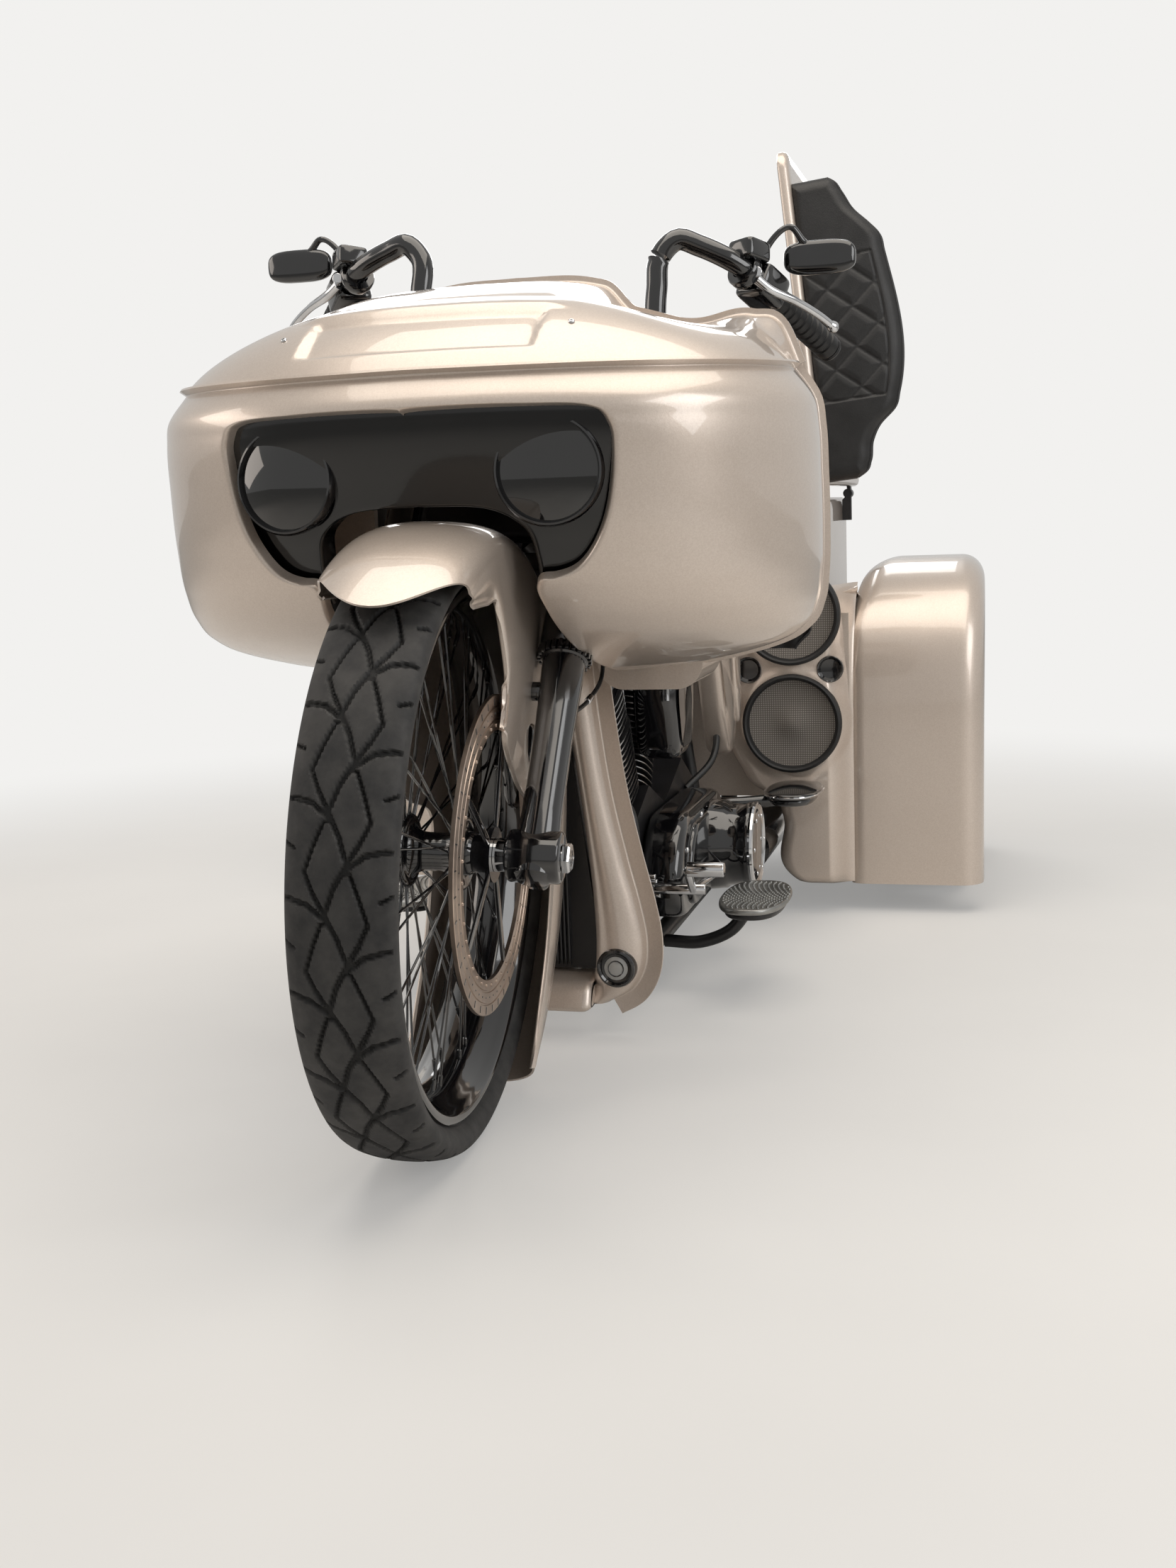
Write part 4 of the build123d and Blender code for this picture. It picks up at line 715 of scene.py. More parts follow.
def headlamps():
    """Two round lamps: a stepped bezel and a lens that is a shallow cap of a sphere."""
    ring = [[0, 0.054], [0, 0.0685], [0.010, 0.0690], [0.016, 0.0665], [0.0165, 0.0640], [0.011, 0.0615],
            [0.010, 0.054]]
    a = np.linspace(0, 1, 14)
    dome = np.stack([0.012 + 0.012 * (1 - a ** 2), 0.062 * a], -1)
    lens = np.concatenate([dome, [[0.002, 0.062], [0.002, 0]]])
    places = [at(side * 0.173, 0.014, 0.866) for side in (-1, 1)]
    aims = [np.array([side * 0.10, -1, 0.02]) for side in (-1, 1)]
    rings = joined(*[turned_solid(ring, p, a, 72) for p, a in zip(places, aims)])
    bowls = joined(*[turned_solid([[-0.06, 0], [-0.06, 0.04], [-0.02, 0.062], [0.004, 0.0625], [0.004, 0]],
                                  p, a, 48, False) for p, a in zip(places, aims)])
    glass = joined(*[turned_solid(lens, p, a, 72, False) for p, a in zip(places, aims)])
    return rings, bowls, glass


def fairing():
    """The whole front fairing."""
    piece("fairing_shell_skin", fairing_shell(), pearl, "chassis", "fairing_shell", crease=50)
    piece("fairing_cap_skin", fairing_cap(), pearl, "chassis", "fairing_cap", crease=50)
    piece("mouth_liner_skin", mouth_liner(), liner_black, "chassis", "mouth_liner", crease=50)
    rings, bowls, glass = headlamps()
    piece("headlamp_bezels", joined(rings, bowls), gloss_black, "chassis", "headlamps")
    piece("headlamp_lenses", glass, lamp_glass, "chassis")
    grid, up = cap_grid()
    spots = [(20, 84), (20, 136), (6, 8), (6, 212)]
    heads = joined(*[button_bolt(grid[r, c] + up[r, c] * 0.0005, up[r, c], 0.0042) for r, c in spots])
    piece("fairing_screws", heads, chrome, "chassis")


# Front wheel

def arc_points(points, steps=10):
    """A smooth profile through a few points."""
    return smooth_path(points, steps * (len(points) - 1) + 1)


TREAD_LINES = [
    # start and end of each groove on one side: along and across in metres, half width
    (0.000, 0.036, 0.022, 0.026, 0.0021), (0.022, 0.026, 0.046, 0.012, 0.0025),
    (0.046, 0.012, 0.072, -0.002, 0.0027), (0.072, -0.002, 0.096, -0.010, 0.0025),
    (0.096, -0.010, 0.112, -0.011, 0.0020), (0.056, 0.016, 0.084, 0.027, 0.0018),
    (0.084, 0.027, 0.1114, 0.036, 0.0018), (0.050, 0.014, 0.036, 0.032, 0.0026),
    (0.036, 0.032, 0.031, 0.054, 0.0028), (0.031, 0.054, 0.031, 0.060, 0.0024),
    (0.086, 0.050, 0.080, 0.064, 0.0016)]


def tread_depth(along, across):
    """How deep the tread is cut: 1 within a groove's half width of a line, 0 a little outside it. The same lines
    repeat round the tyre, and the other side has them mirrored and half a pitch further on."""
    pitch = 2 * math.pi * WHEEL_R / 22
    depth = np.zeros(np.broadcast_shapes(along.shape, across.shape))
    for side, shift in ((1, 0.0), (-1, pitch / 2)):
        a = np.mod(along + shift, pitch)
        c = across * side
        for a0, c0, a1, c1, half in TREAD_LINES:
            for wrap in (-pitch, 0.0, pitch):
                da, dc = a1 - a0, c1 - c0
                s = np.clip(((a + wrap - a0) * da + (c - c0) * dc) / (da * da + dc * dc), 0, 1)
                gap = np.hypot(a + wrap - a0 - s * da, c - c0 - s * dc)
                depth = np.maximum(depth, 1 - ease(gap, half - 0.0006, half + 0.0012))
    return depth


def front_tyre():
    """The front tyre: a round section turned about the axle, with the tread cut into it along its normal."""
    side = [[-0.044, 0.331], [-0.0475, 0.343], [-0.057, 0.3515], [-0.0628, 0.361], [-0.0636, 0.3685],
            [-0.0600, 0.3765], [-0.0500, 0.3828], [-0.0340, 0.3872], [-0.0170, 0.3893], [0, 0.3900]]
    half = smooth_path(side, 48)
    section = np.concatenate([half, (half * [-1, 1])[-2::-1]])
    slope = np.gradient(section, axis=0)
    normal = np.stack([-slope[:, 1], slope[:, 0]], -1)
    normal /= np.linalg.norm(normal, axis=1, keepdims=True)
    run = np.concatenate([[0], np.cumsum(np.linalg.norm(np.diff(section, axis=0), axis=1))])
    across = run - run[len(half) - 1]
    angle = np.linspace(0, 2 * math.pi, 1000, endpoint=False)[:, None]
    cut = tread_depth(angle * WHEEL_R, across[None])
    cut = cut * (1 - ease(np.abs(across), 0.064, 0.069))
    x = section[:, 0] - normal[:, 0] * 0.0042 * cut
    radius = section[:, 1] - normal[:, 1] * 0.0042 * cut
    outer = on_wheel(x, radius * np.cos(angle), radius * np.sin(angle))
    well = np.array([[0.040, 0.3305], [0.020, 0.3300], [-0.020, 0.3300], [-0.040, 0.3305]])
    inner = on_wheel(well[:, 0] + 0 * angle, well[:, 1] * np.cos(angle), well[:, 1] * np.sin(angle))
    grid = np.concatenate([outer, inner], axis=1)
    # The groove share goes to the rubber, which darkens the grooves with it as painted shade.
    groove = np.concatenate([cut, np.zeros((1000, 4))], axis=1)
    return sheet(grid, close_rows=True, close_columns=True), groove


def wheel_turning(profile, count=96):
    """A profile of (x, radius) turned about the front axle."""
    profile = np.asarray(profile, float)
    angle = np.linspace(0, 2 * math.pi, count, endpoint=False)[:, None]
    grid = on_wheel(profile[:, 0] + 0 * angle, profile[:, 1] * np.cos(angle), profile[:, 1] * np.sin(angle))
    return sheet(grid, close_rows=True, close_columns=True)


def wheel_places(x, radius, count, start=0.0):
    """Matrices round the wheel at a radius, their Z along the axle to the left and X outwards."""
    angle = start + np.arange(count) * 2 * math.pi / count
    origin = on_wheel(np.full(count, x), radius * np.cos(angle), radius * np.sin(angle))
    outer = on_wheel(np.full(count, x), (radius + 1) * np.cos(angle), (radius + 1) * np.sin(angle)) - origin
    left = on_wheel(x + 1.0, 0.0, 0.0) - on_wheel(x, 0.0, 0.0)
    return placed(origin, left, outer)


def front_wheel():
    """The spoked wheel: rim, hub, spokes with nipples, and the brake ring."""
    tyre, groove = front_tyre()
    piece("front_tyre_tread", tyre, rubber, "front_wheel", "front_tyre", attribute=("groove", groove))

    half = arc_points([[0.052, 0.3425], [0.0535, 0.339], [0.0528, 0.333], [0.047, 0.327], [0.040, 0.322],
                       [0.031, 0.3145], [0.021, 0.3075], [0.010, 0.3045], [0, 0.304]], 6)
    inner = np.concatenate([half, (half * [-1, 1])[-2::-1]])
    outer = np.array([[-0.0465, 0.3415], [-0.0465, 0.3303], [-0.030, 0.326], [-0.020, 0.316], [0.020, 0.316],
                      [0.030, 0.326], [0.0465, 0.3303], [0.0465, 0.3415]])
    rim = wheel_turning(np.concatenate([inner, outer]), 192)
    hub = arc_points([[0.052, 0.0245], [0.047, 0.028], [0.041, 0.0285], [0.0405, 0.047], [0.036, 0.049],
                      [0.032, 0.047], [0.030, 0.034], [0.018, 0.0265], [0, 0.025]], 5)
    hub = np.concatenate([hub, (hub * [-1, 1])[-2::-1], [[-0.052, 0.0132], [0.052, 0.0132]]])
    hub_part = wheel_turning(hub, 64)
    piece("front_rim_and_hub", joined(rim, hub_part), gloss_black, "front_wheel", "front_rim")

    spokes = []
    for side in (-1, 1):
        number = np.arange(30)
        foot = number * 2 * math.pi / 30 + math.radians(3.0) * side
        head = foot + np.radians(np.where(number % 2 == 1, 9.0, -9.0))
        low = on_wheel(np.full(30, 0.036 * side), 0.044 * np.cos(foot), 0.044 * np.sin(foot))
        high = on_wheel(np.full(30, 0.012 * side), 0.3085 * np.cos(head), 0.3085 * np.sin(head))
        span = np.linalg.norm((high - low)[0])
        rod = lathe([[0, 0], [0, 0.0016], [span * 0.93, 0.0016], [span * 0.935, 0.0030], [span, 0.0030],
                     [span, 0]], 10, False)
        spokes.append(copies(rod, placed(low, high - low)))
    piece("front_spokes", joined(*spokes), gloss_black, "front_wheel")

    face = 0.080
    ring = wheel_turning([[face - 0.006, 0.160], [face - 0.0008, 0.160], [face, 0.1612], [face, 0.1725],
                          [face - 0.0014, 0.1732], [face - 0.0014, 0.1752], [face, 0.1760], [face, 0.1885],
                          [face - 0.0014, 0.1892], [face - 0.0014, 0.1912], [face, 0.1920], [face, 0.2040],
                          [face - 0.0008, 0.205], [face - 0.006, 0.205]], 160)
    rivets = copies(lathe([[0, 0], [0, 0.0026], [0.0012, 0.0023], [0.0018, 0.0012], [0.0018, 0]], 12, False),
                    wheel_places(face, 0.1665, 40))
    piece("brake_ring", joined(ring, rivets), ring_steel, "front_wheel", "brake_rotor")
    slots = copies(block((0.0045, 0.0011, 0.0006)), wheel_places(face, 0.198, 40, 0.05))
    dots = copies(lathe([[0, 0], [0, 0.0013], [0.0005, 0.0011], [0.0005, 0]], 10, False),
                  wheel_places(face, 0.182, 60, 0.02))
    arms = copies(block((0.064, 0.0055, 0.0024), power=0.3), wheel_places(face - 0.003, 0.098, 5))
    boss = wheel_turning([[0.0525, 0.0135], [0.0525, 0.024], [0.072, 0.024], [0.074, 0.036], [0.0795, 0.036],
                          [0.0795, 0.0135]], 64)
    piece("brake_ring_slots", joined(slots, dots, arms, boss), gloss_black, "front_wheel")
    collar = wheel_turning([[-0.056, 0.0135], [-0.056, 0.020], [-0.053, 0.0215], [-0.0525, 0.0215],
                            [-0.0525, 0.0135]])
    piece("hub_collar", collar, chrome, "front_wheel")


# Front fender

FENDER_LINE = np.array([
    # along, crown angle, shoulder angle, then the side's lower edge: rear of and above the axle
    [0.00, 128, 116, -0.160, 0.330], [0.10, 118, 110, -0.105, 0.330], [0.17, 108, 104, -0.054, 0.328],
    [0.21, 102, 99, -0.034, 0.303], [0.27, 95, 94, 0.002, 0.235], [0.33, 86, 86, 0.003, 0.190],
    [0.39, 78, 78, -0.008, 0.152], [0.46, 68, 68, 0.040, 0.100], [0.60, 42, 42, 0.165, 0.036],
    [0.70, 16, 16, 0.281, -0.006], [0.79, -12, -12, 0.283, -0.087], [0.88, -38, -38, 0.248, -0.199],
    [0.95, -55, -55, 0.192, -0.288], [1.00, -63, -63, 0.158, -0.338]])


def fender_side(t, side, rows=26):
    """Half of the fender: an arc of a superellipse from the crown to the shoulder, then a flat side down to its
    edge; both follow smooth curves round the wheel."""
    line = through(FENDER_LINE[:, 0], FENDER_LINE[:, 1:], t)
    crown, shoulder = np.radians(line[:, 0])[None], np.radians(line[:, 1])[None]
    a = np.linspace(0, math.pi / 2, rows)[:, None]
    across = np.sin(a) ** (2 / 2.5)
    radius = 0.380 + 0.040 * np.cos(a) ** (2 / 2.5)
    angle = crown + (shoulder - crown) * across ** 2
    x = 0.092 * across + 0 * angle
    rear, up = radius * np.cos(angle), radius * np.sin(angle)
    s = np.linspace(0, 1, rows)[1:, None]
    low_rear = rear[-1] + (line[:, 2] - rear[-1]) * s
    low_up = up[-1] + (line[:, 3] - up[-1]) * s
    low_x = 0.092 + 0.0035 * np.sin(math.pi * s) + 0 * low_up
    x, rear, up = (np.concatenate(pair) for pair in ((x, low_x), (rear, low_rear), (up, low_up)))
    return side * x, rear, up


def front_fender():
    """The deep front fender with its wall and a rolled lower edge, its stays and their bolts."""
    t = np.linspace(0, 1, 200)
    right, left = fender_side(t, -1), fender_side(t, 1)
    x, rear, up = (np.concatenate([r[::-1], l[1:]]) for r, l in zip(right, left))
    grid = rolled(facing(on_wheel(x, rear, up), 25, 100, 2), 0.0025, 0.003)
    grid = rolled(grid[::-1], 0.0025, 0.003)[::-1]
    piece("front_fender_skin", walled(grid, 0.0030), pearl, "steering", "front_fender", crease=50)
    stays = []
    for side in (-1, 1):
        start = on_fork(side * 0.088, AXLE_AHEAD, 0.240)
        stays.append(pin(start, on_fork(side * 0.108, AXLE_AHEAD, 0.240), 0.013))
        stays.append(hex_bolt(on_fork(side * 0.0885, AXLE_AHEAD + 0.03, 0.24),
                              on_fork(side, 0, 0) - on_fork(0, 0, 0), 0.005, 0.006))
    piece("fender_stays", joined(*stays), gloss_black, "steering")


# Fork, clamps, axle and brake

def fork_turning(profile, x, count=48):
    """A profile of (height, radius) turned about one fork leg."""
    low, high = on_fork(x, AXLE_AHEAD, 0.0), on_fork(x, AXLE_AHEAD, 1.0)
    return turned_solid(profile, low, high - low, count, False)


def fork():
    """Fork legs with their axle clamps, upper covers with a knurled collar, clamps, nacelle, axle and caliper."""
    leg = [[-0.034, 0], [-0.034, 0.020], [-0.030, 0.027], [0.02, 0.0285], [0.06, 0.0265], [0.16, 0.0260],
           [0.25, 0.0285], [0.286, 0.0295], [0.288, 0.0325], [0.296, 0.0335], [0.300, 0.0320], [0.303, 0]]
    cover = [[0.303, 0], [0.303, 0.0335], [0.309, 0.036], [0.318, 0.0365], [0.330, 0.0360], [0.430, 0.0345],
             [0.434, 0.0330], [0.434, 0]]
    tube_top = [[0.464, 0], [0.464, 0.0250], [0.640, 0.0250], [0.642, 0.0235], [0.642, 0]]
    legs, covers, tops, clamps = [], [], [], []
    side_way = on_fork(1, 0, 0) - on_fork(0, 0, 0)
    for side in (-1, 1):
        x = side * FORK_X
        legs.append(fork_turning(leg, x))
        legs.append(pin(on_wheel(x - 0.035, 0, 0), on_wheel(x + 0.035, 0, 0), 0.034, 48, 0.005))
        legs.append(pin(on_fork(x, AXLE_AHEAD - 0.030, -0.03), on_fork(x, AXLE_AHEAD - 0.026, 0.065),
                        0.015, 32, 0.005))
        covers.append(fork_turning(cover, x))
        tops.append(fork_turning(tube_top, x))
        knurl = on_fork(x + 0.0345 * np.cos(np.linspace(0, 2 * math.pi, 25)[:-1]),
                        AXLE_AHEAD + 0.0345 * np.sin(np.linspace(0, 2 * math.pi, 25)[:-1]), 0.2955)
        covers.append(copies(block((0.0028, 0.0028, 0.0075), rows=8, columns=12), placed(knurl, STEM_DIR)))
        for height in (0.434, 0.600):
            clamps.append(fork_turning([[height, 0.0245], [height, 0.036], [height + 0.002, 0.038],
                                        [height + 0.028, 0.038], [height + 0.030, 0.036],
                                        [height + 0.030, 0.0245]], x))
            clamps.append(hex_bolt(on_fork(x - side * 0.01, AXLE_AHEAD + 0.037, height + 0.015),
                                   on_fork(0, 1, 0) - on_fork(0, 0, 0), 0.006, 0.006))
    for height in (0.434, 0.600):
        m = placed(on_fork(0, 0.036, height + 0.015), STEM_DIR, side_way)
        clamps.append(block((FORK_X - 0.006, 0.025, 0.0145), m, 0.2))
        clamps.append(turned_solid([[0, 0], [0, 0.034], [0.030, 0.034], [0.030, 0]], on_fork(0, 0, height),
                                   STEM_DIR, 48, False))
    clamps.append(pin(on_fork(0, 0, 0.45), on_fork(0, 0, 0.62), 0.014, 32))
    piece("fork_lower_legs", joined(*legs), gloss_black, "steering", "fork_legs")
    piece("fork_covers", joined(*covers, *tops), gloss_black, "steering", "fork_tubes")
    piece("fork_clamps", joined(*clamps), satin_black, "steering", "triple_clamps")
    nacelle = block((0.094, 0.014, 0.058), placed(on_fork(0, AXLE_AHEAD + 0.012, 0.532), STEM_DIR, side_way), 0.35)
    horn = turned_solid([[0, 0], [0, 0.026], [0.012, 0.030], [0.020, 0.030], [0.026, 0.024], [0.026, 0]],
                        on_fork(0, AXLE_AHEAD + 0.026, 0.545), on_fork(0, 1, 0) - on_fork(0, 0, 0), 40, False)
    piece("fork_nacelle", joined(nacelle, horn), moulded_black, "steering")

    axle = [pin(on_wheel(-0.178, 0, 0), on_wheel(0.178, 0, 0), 0.0125, 32)]
    for side in (-1, 1):
        axle.append(turned_solid([[0, 0.0080], [0, 0.0195], [0.007, 0.0200], [0.0095, 0.0180], [0.0095, 0.0080]],
                                 on_wheel(side * 0.1685, 0, 0), side * side_way, 6 if side > 0 else 40, True))
    axle.append(wheel_turning([[0.0800, 0.0135], [0.0800, 0.022], [0.094, 0.022], [0.095, 0.0135]], 48))
    axle.append(wheel_turning([[-0.094, 0.0135], [-0.094, 0.022], [-0.058, 0.022], [-0.057, 0.0135]], 48))
    piece("front_axle_and_nuts", joined(*axle), chrome, "steering", "front_axle")

    outline = smooth_path([[0.215, 0.030], [0.222, 0.060], [0.208, 0.104], [0.172, 0.140], [0.120, 0.148],
                           [0.118, 0.118], [0.142, 0.078], [0.158, 0.035], [0.190, 0.026], [0.215, 0.030]], 80)[:-1]
    centre = outline.mean(0)
    bars = []
    for low, high in ((0.0845, 0.101), (0.0530, 0.0705)):
        shares = [(low, 0.0), (low, 0.86), (low + 0.003, 0.96), (low + 0.006, 1.0), (high - 0.006, 1.0),
                  (high - 0.003, 0.96), (high, 0.86), (high, 0.0)]
        rings = np.array([on_wheel(np.full(79, x), *(centre + (outline - centre) * k).T) for x, k in shares])
        bars.append(sheet(rings, close_columns=True))
    bridge = block((0.024, 0.006, 0.045), wheel_places(0.077, 0.2135, 1, math.radians(26)))
    bolts = hex_bolt(on_wheel(np.full(3, 0.101), [0.200, 0.188, 0.150], [0.050, 0.090, 0.122]), side_way,
                     0.006, 0.005)
    piece("brake_caliper_body", joined(*bars, bridge, bolts), gloss_black, "steering", "brake_caliper")


HOSE = np.array([[0.10, 0.375, 0.845], [0.116, 0.362, 0.760], [0.132, 0.356, 0.690], [0.146, 0.366, 0.640],
                 [0.148, 0.362, 0.585], [0.140, 0.306, 0.556], [0.132, 0.225, 0.545]])


def hoses():
    """The brake hose from the bar down behind the left leg to the caliper, with a ferrule near each end."""
    left = steered(at(*HOSE.T))
    piece("brake_hose", tube(left, 0.0032, 90, 12), hose_rubber, "steering")
    ferrules = []
    for k in (2, 5):
        way = left[k + 1] - left[k - 1]
        way /= np.linalg.norm(way)
        ferrules.append(pin(left[k] - way * 0.010, left[k] + way * 0.010, 0.0050, 16))
    piece("hose_ferrules", joined(*ferrules), chrome, "steering")


def shroud():
    """A black inner shroud behind the fork: a ribbed sheet across the fairing's inside."""
    x = np.linspace(-0.43, 0.43, 161)[:, None]
    z = np.linspace(0.605, 0.868, 50)[None]
    back = 0.470 + 0.030 * (1 - (x / 0.43) ** 2) + 0.002 * np.cos(x * 2 * math.pi / 0.03) + 0 * z
    limit = 0.455 - 0.05 * ease(0.66 - z, 0, 0.06)
    grid = at(np.clip(x, -limit, limit) + 0 * z, back, z + 0 * x)
    piece("inner_shroud", walled(facing(grid, 80, 25, 1, -1), 0.003), moulded_black, "chassis")


# Handlebar, hand controls and mirrors

def steer_point(x, back, z):
    """A point of the straight-ahead steering after its turn."""
    return steered(at(x, back, z))


def handlebar():
    """The bars: each rises behind the fairing and runs out to its grip, with collars at the bends."""
    parts = []
    for side in (-1, 1):
        foot = on_fork(side * 0.055, 0, 0.62)
        route = [foot, on_fork(side * 0.055, 0, 0.70), steer_point(side * 0.115, 0.515, 0.945),
                 steer_point(side * 0.178, 0.548, 1.02), steer_point(side * 0.186, 0.580, 1.15),
                 steer_point(side * 0.190, 0.594, 1.205), steer_point(side * 0.215, 0.600, 1.228),
                 steer_point(side * 0.245, 0.610, 1.220), steer_point(side * 0.300, 0.630, 1.196),
                 steer_point(side * 0.372, 0.724, 1.135), steer_point(side * 0.432, 0.802, 1.086)]
        parts.append(tube(route, 0.0165, 110, 28))
        for k in (0, 1):
            top = on_fork(side * 0.055, 0, 0.632 + 0.03 * k)
            parts.append(pin(top, on_fork(side * 0.055, 0, 0.655 + 0.03 * k), 0.024, 32, 0.004))
    piece("handlebar_tubes", joined(*parts), gloss_black, "steering", "handlebar")


def hand_controls():
    """Grips with ribs, switch housings, reservoir, levers with ball ends, and the mirrors on curved stalks."""
    for side, hand in ((1, "left"), (-1, "right")):
        elbow, end = steer_point(side * 0.300, 0.630, 1.196), steer_point(side * 0.436, 0.808, 1.082)
        along = (end - elbow) / np.linalg.norm(end - elbow)
        length = np.linalg.norm(end - elbow)
        start = elbow + along * 0.104
        count = 9
        ribs = [[0, 0], [0, 0.0205], [0.004, 0.0215]]
        for k in range(count):
            a = 0.012 + k * (length - 0.104 - 0.022) / count
            ribs += [[a, 0.0215], [a + 0.002, 0.0195], [a + 0.004, 0.0195], [a + 0.006, 0.0215]]
        ribs += [[length - 0.108, 0.0215], [length - 0.104, 0.0190], [length - 0.104, 0]]
        grip = turned_solid(ribs, start, along, 36, False)
        cap = turned_solid([[0, 0], [0, 0.0200], [0.004, 0.0205], [0.008, 0.0180], [0.010, 0.010], [0.0105, 0]],
                           end, along, 36, False)
        house = block((0.027, 0.030, 0.031), placed(elbow + along * 0.070, along, (0, 0, 1)), 0.32)
        tank = block((0.026, 0.024, 0.016),
                     placed(elbow + along * 0.040 + [0, -0.012, 0.036], (0, 0.2, 1), along), 0.3)
        clamp = turned_solid([[0, 0.0165], [0, 0.026], [0.003, 0.028], [0.016, 0.028], [0.019, 0.026],
                              [0.019, 0.0165]], elbow + along * 0.014, along, 32)
        toggles = [block((0.005, 0.009, 0.004), placed(elbow + along * (0.055 + 0.015 * k) + [0, 0.031, 0.004 * k],
                                                       (0, 1, 0), along)) for k in range(3)]
        screws = button_bolt(elbow + along * 0.040 + np.array([[0.012, -0.028, 0.050], [-0.012, -0.002, 0.050]]),
                             (0, -0.1, 1), 0.0035)
        piece(hand + "_switch_housing", joined(house, tank, clamp, screws, *toggles), gloss_black, "steering",
              hand + "_controls")
        piece(hand + "_grip", joined(grip, cap), hose_rubber, "steering")
        root = elbow + along * 0.066 + [0, -0.046, 0.006]
        tip = end + np.array([side * 0.020, -0.078, 0.022])
        path = smooth_path([root, root + along * 0.03 + [0, -0.012, 0.002], (root + tip) / 2 + [0, -0.010, 0.004],
                            tip - along * 0.02, tip], 60)
        width = np.interp(np.linspace(0, 1, 60), [0, 0.08, 0.5, 0.9, 0.93, 0.96, 1.0],
                          [0.0085, 0.0080, 0.0062, 0.0060, 0.0085, 0.0100, 0.0060])
        piece(hand + "_lever", joined(tube(None, width, count=20, path=path),
                                      pin(root + [0, 0.03, 0.010], root + [0, -0.002, 0.010], 0.009)),
              chrome, "steering")
        head = steer_point(side * 0.424, 0.690, 1.210)
        stalk_foot = elbow + along * 0.070 + [0, 0, 0.026]
        stalk = [stalk_foot, stalk_foot + [side * 0.006, 0, 0.030], stalk_foot + [side * 0.045, 0, 0.062],
                 head + [-side * 0.020, -0.004, 0.020], head + [side * 0.012, -0.004, 0.010]]
        radius = np.interp(np.linspace(0, 1, 50), [0, 0.5, 1], [0.0058, 0.0046, 0.0070])
        shell = block((0.056, 0.026, 0.0125), placed(head, (0, -1, 0), (1, 0, 0)), 0.62, 32, 72)
        glass = block((0.049, 0.020, 0.0012), placed(head + [0, 0.0122, 0], (0, 1, 0), (1, 0, 0)), 0.6, 16, 72)
        piece(hand + "_mirror_shell", joined(tube(stalk, radius, 50, 16), shell), gloss_black, "steering",
              *(["mirrors"] if side > 0 else []))
        piece(hand + "_mirror_glass", glass, chrome, "steering")


# Shared forms for covers and shells

def slab(outline, low, high, place, soft=0.008, crown=0.0):
    """A cover: an outline carried from low to high, its edges rounded by a quarter circle towards its middle, its
    faces drawn in to the middle and raised there by crown. place maps (u, v, height) to points."""
    outline = np.asarray(outline, float)
    centre = outline.mean(0)
    reach = np.linalg.norm(outline - centre, axis=1, keepdims=True)
    turn = np.linspace(0, math.pi / 2, 5)
    steps = [(reach * 0 + k, low) for k in (0.0, 0.4, 0.8)]
    steps += [(1 - soft * (1 - np.sin(a)) / reach, low + soft * (1 - np.cos(a))) for a in turn]
    steps += [(1 - soft * (1 - np.cos(a)) / reach, high - soft * (1 - np.sin(a))) for a in turn]
    steps += [(reach * 0 + k, high + crown * (1 - k * k)) for k in (0.8, 0.6, 0.4, 0.2, 0.0)]
    rings = []
    for share, height in steps:
        flat = centre + (outline - centre) * share
        rings.append(place(flat[:, 0], flat[:, 1], np.full(len(outline), float(height))))
    return sheet(np.array(rings), close_columns=True)


def rounded_outline(corners, radius, steps=6):
    """A polygon with its corners cut to quadratic curves that start and end a radius away from each corner."""
    corners = np.asarray(corners, float)
    before, after = np.roll(corners, 1, 0) - corners, np.roll(corners, -1, 0) - corners
    before /= np.linalg.norm(before, axis=1, keepdims=True)
    after /= np.linalg.norm(after, axis=1, keepdims=True)
    s = np.linspace(0, 1, steps)[None, :, None]
    start, end = (corners + before * radius)[:, None], (corners + after * radius)[:, None]
    return ((1 - s) ** 2 * start + 2 * s * (1 - s) * corners[:, None] + s ** 2 * end).reshape(-1, 2)


def sideways(side):
    """A map for slabs seen from the side: u is the distance behind the front axle, v the height."""
    def place(u, v, height):
        return at(side * height, u, v)
    return place


def upright(u, v, height):
    """A map for slabs that lie flat: u is x, v the distance behind the front axle."""
    return at(u, v, height)


# Rear body

FENDER_FRONT, FENDER_REAR = 1.338, 2.068
FENDER_TOP, FENDER_FOOT = 0.695, 0.058
FENDER_INNER, FENDER_OUTER = 0.392, 0.650
FENDER_POWER, FENDER_TAPER = 3.3, 0.0312
ARCH_R = 0.292


def fender_outline(count=120):
    """The rear fender from the side: up the front, over a superellipse and down the rear; and beside each point
    the wheel opening's edge."""
    middle, a = (FENDER_FRONT + FENDER_REAR) / 2, (FENDER_REAR - FENDER_FRONT) / 2
    b = FENDER_TOP - REAR_TYRE_R
    rise = np.linspace(FENDER_FOOT, REAR_TYRE_R, 24)[:-1]
    angle = np.linspace(math.pi, 0, count)
    wave_x, wave_z = np.cos(angle), np.sin(angle)
    over = np.stack([middle + a * bent(wave_x, 2 / FENDER_POWER),
                     REAR_TYRE_R + b * np.abs(wave_z) ** (2 / FENDER_POWER)], -1)
    outer = np.concatenate([np.stack([0 * rise + FENDER_FRONT, rise], -1), over,
                            np.stack([0 * rise + FENDER_REAR, rise[::-1]], -1)])
    arch = np.concatenate([np.stack([0 * rise + WHEELBASE - ARCH_R, rise], -1),
                           np.stack([WHEELBASE + ARCH_R * wave_x, REAR_TYRE_R + ARCH_R * wave_z], -1),
                           np.stack([0 * rise + WHEELBASE + ARCH_R, rise[::-1]], -1)])
    return outer, arch


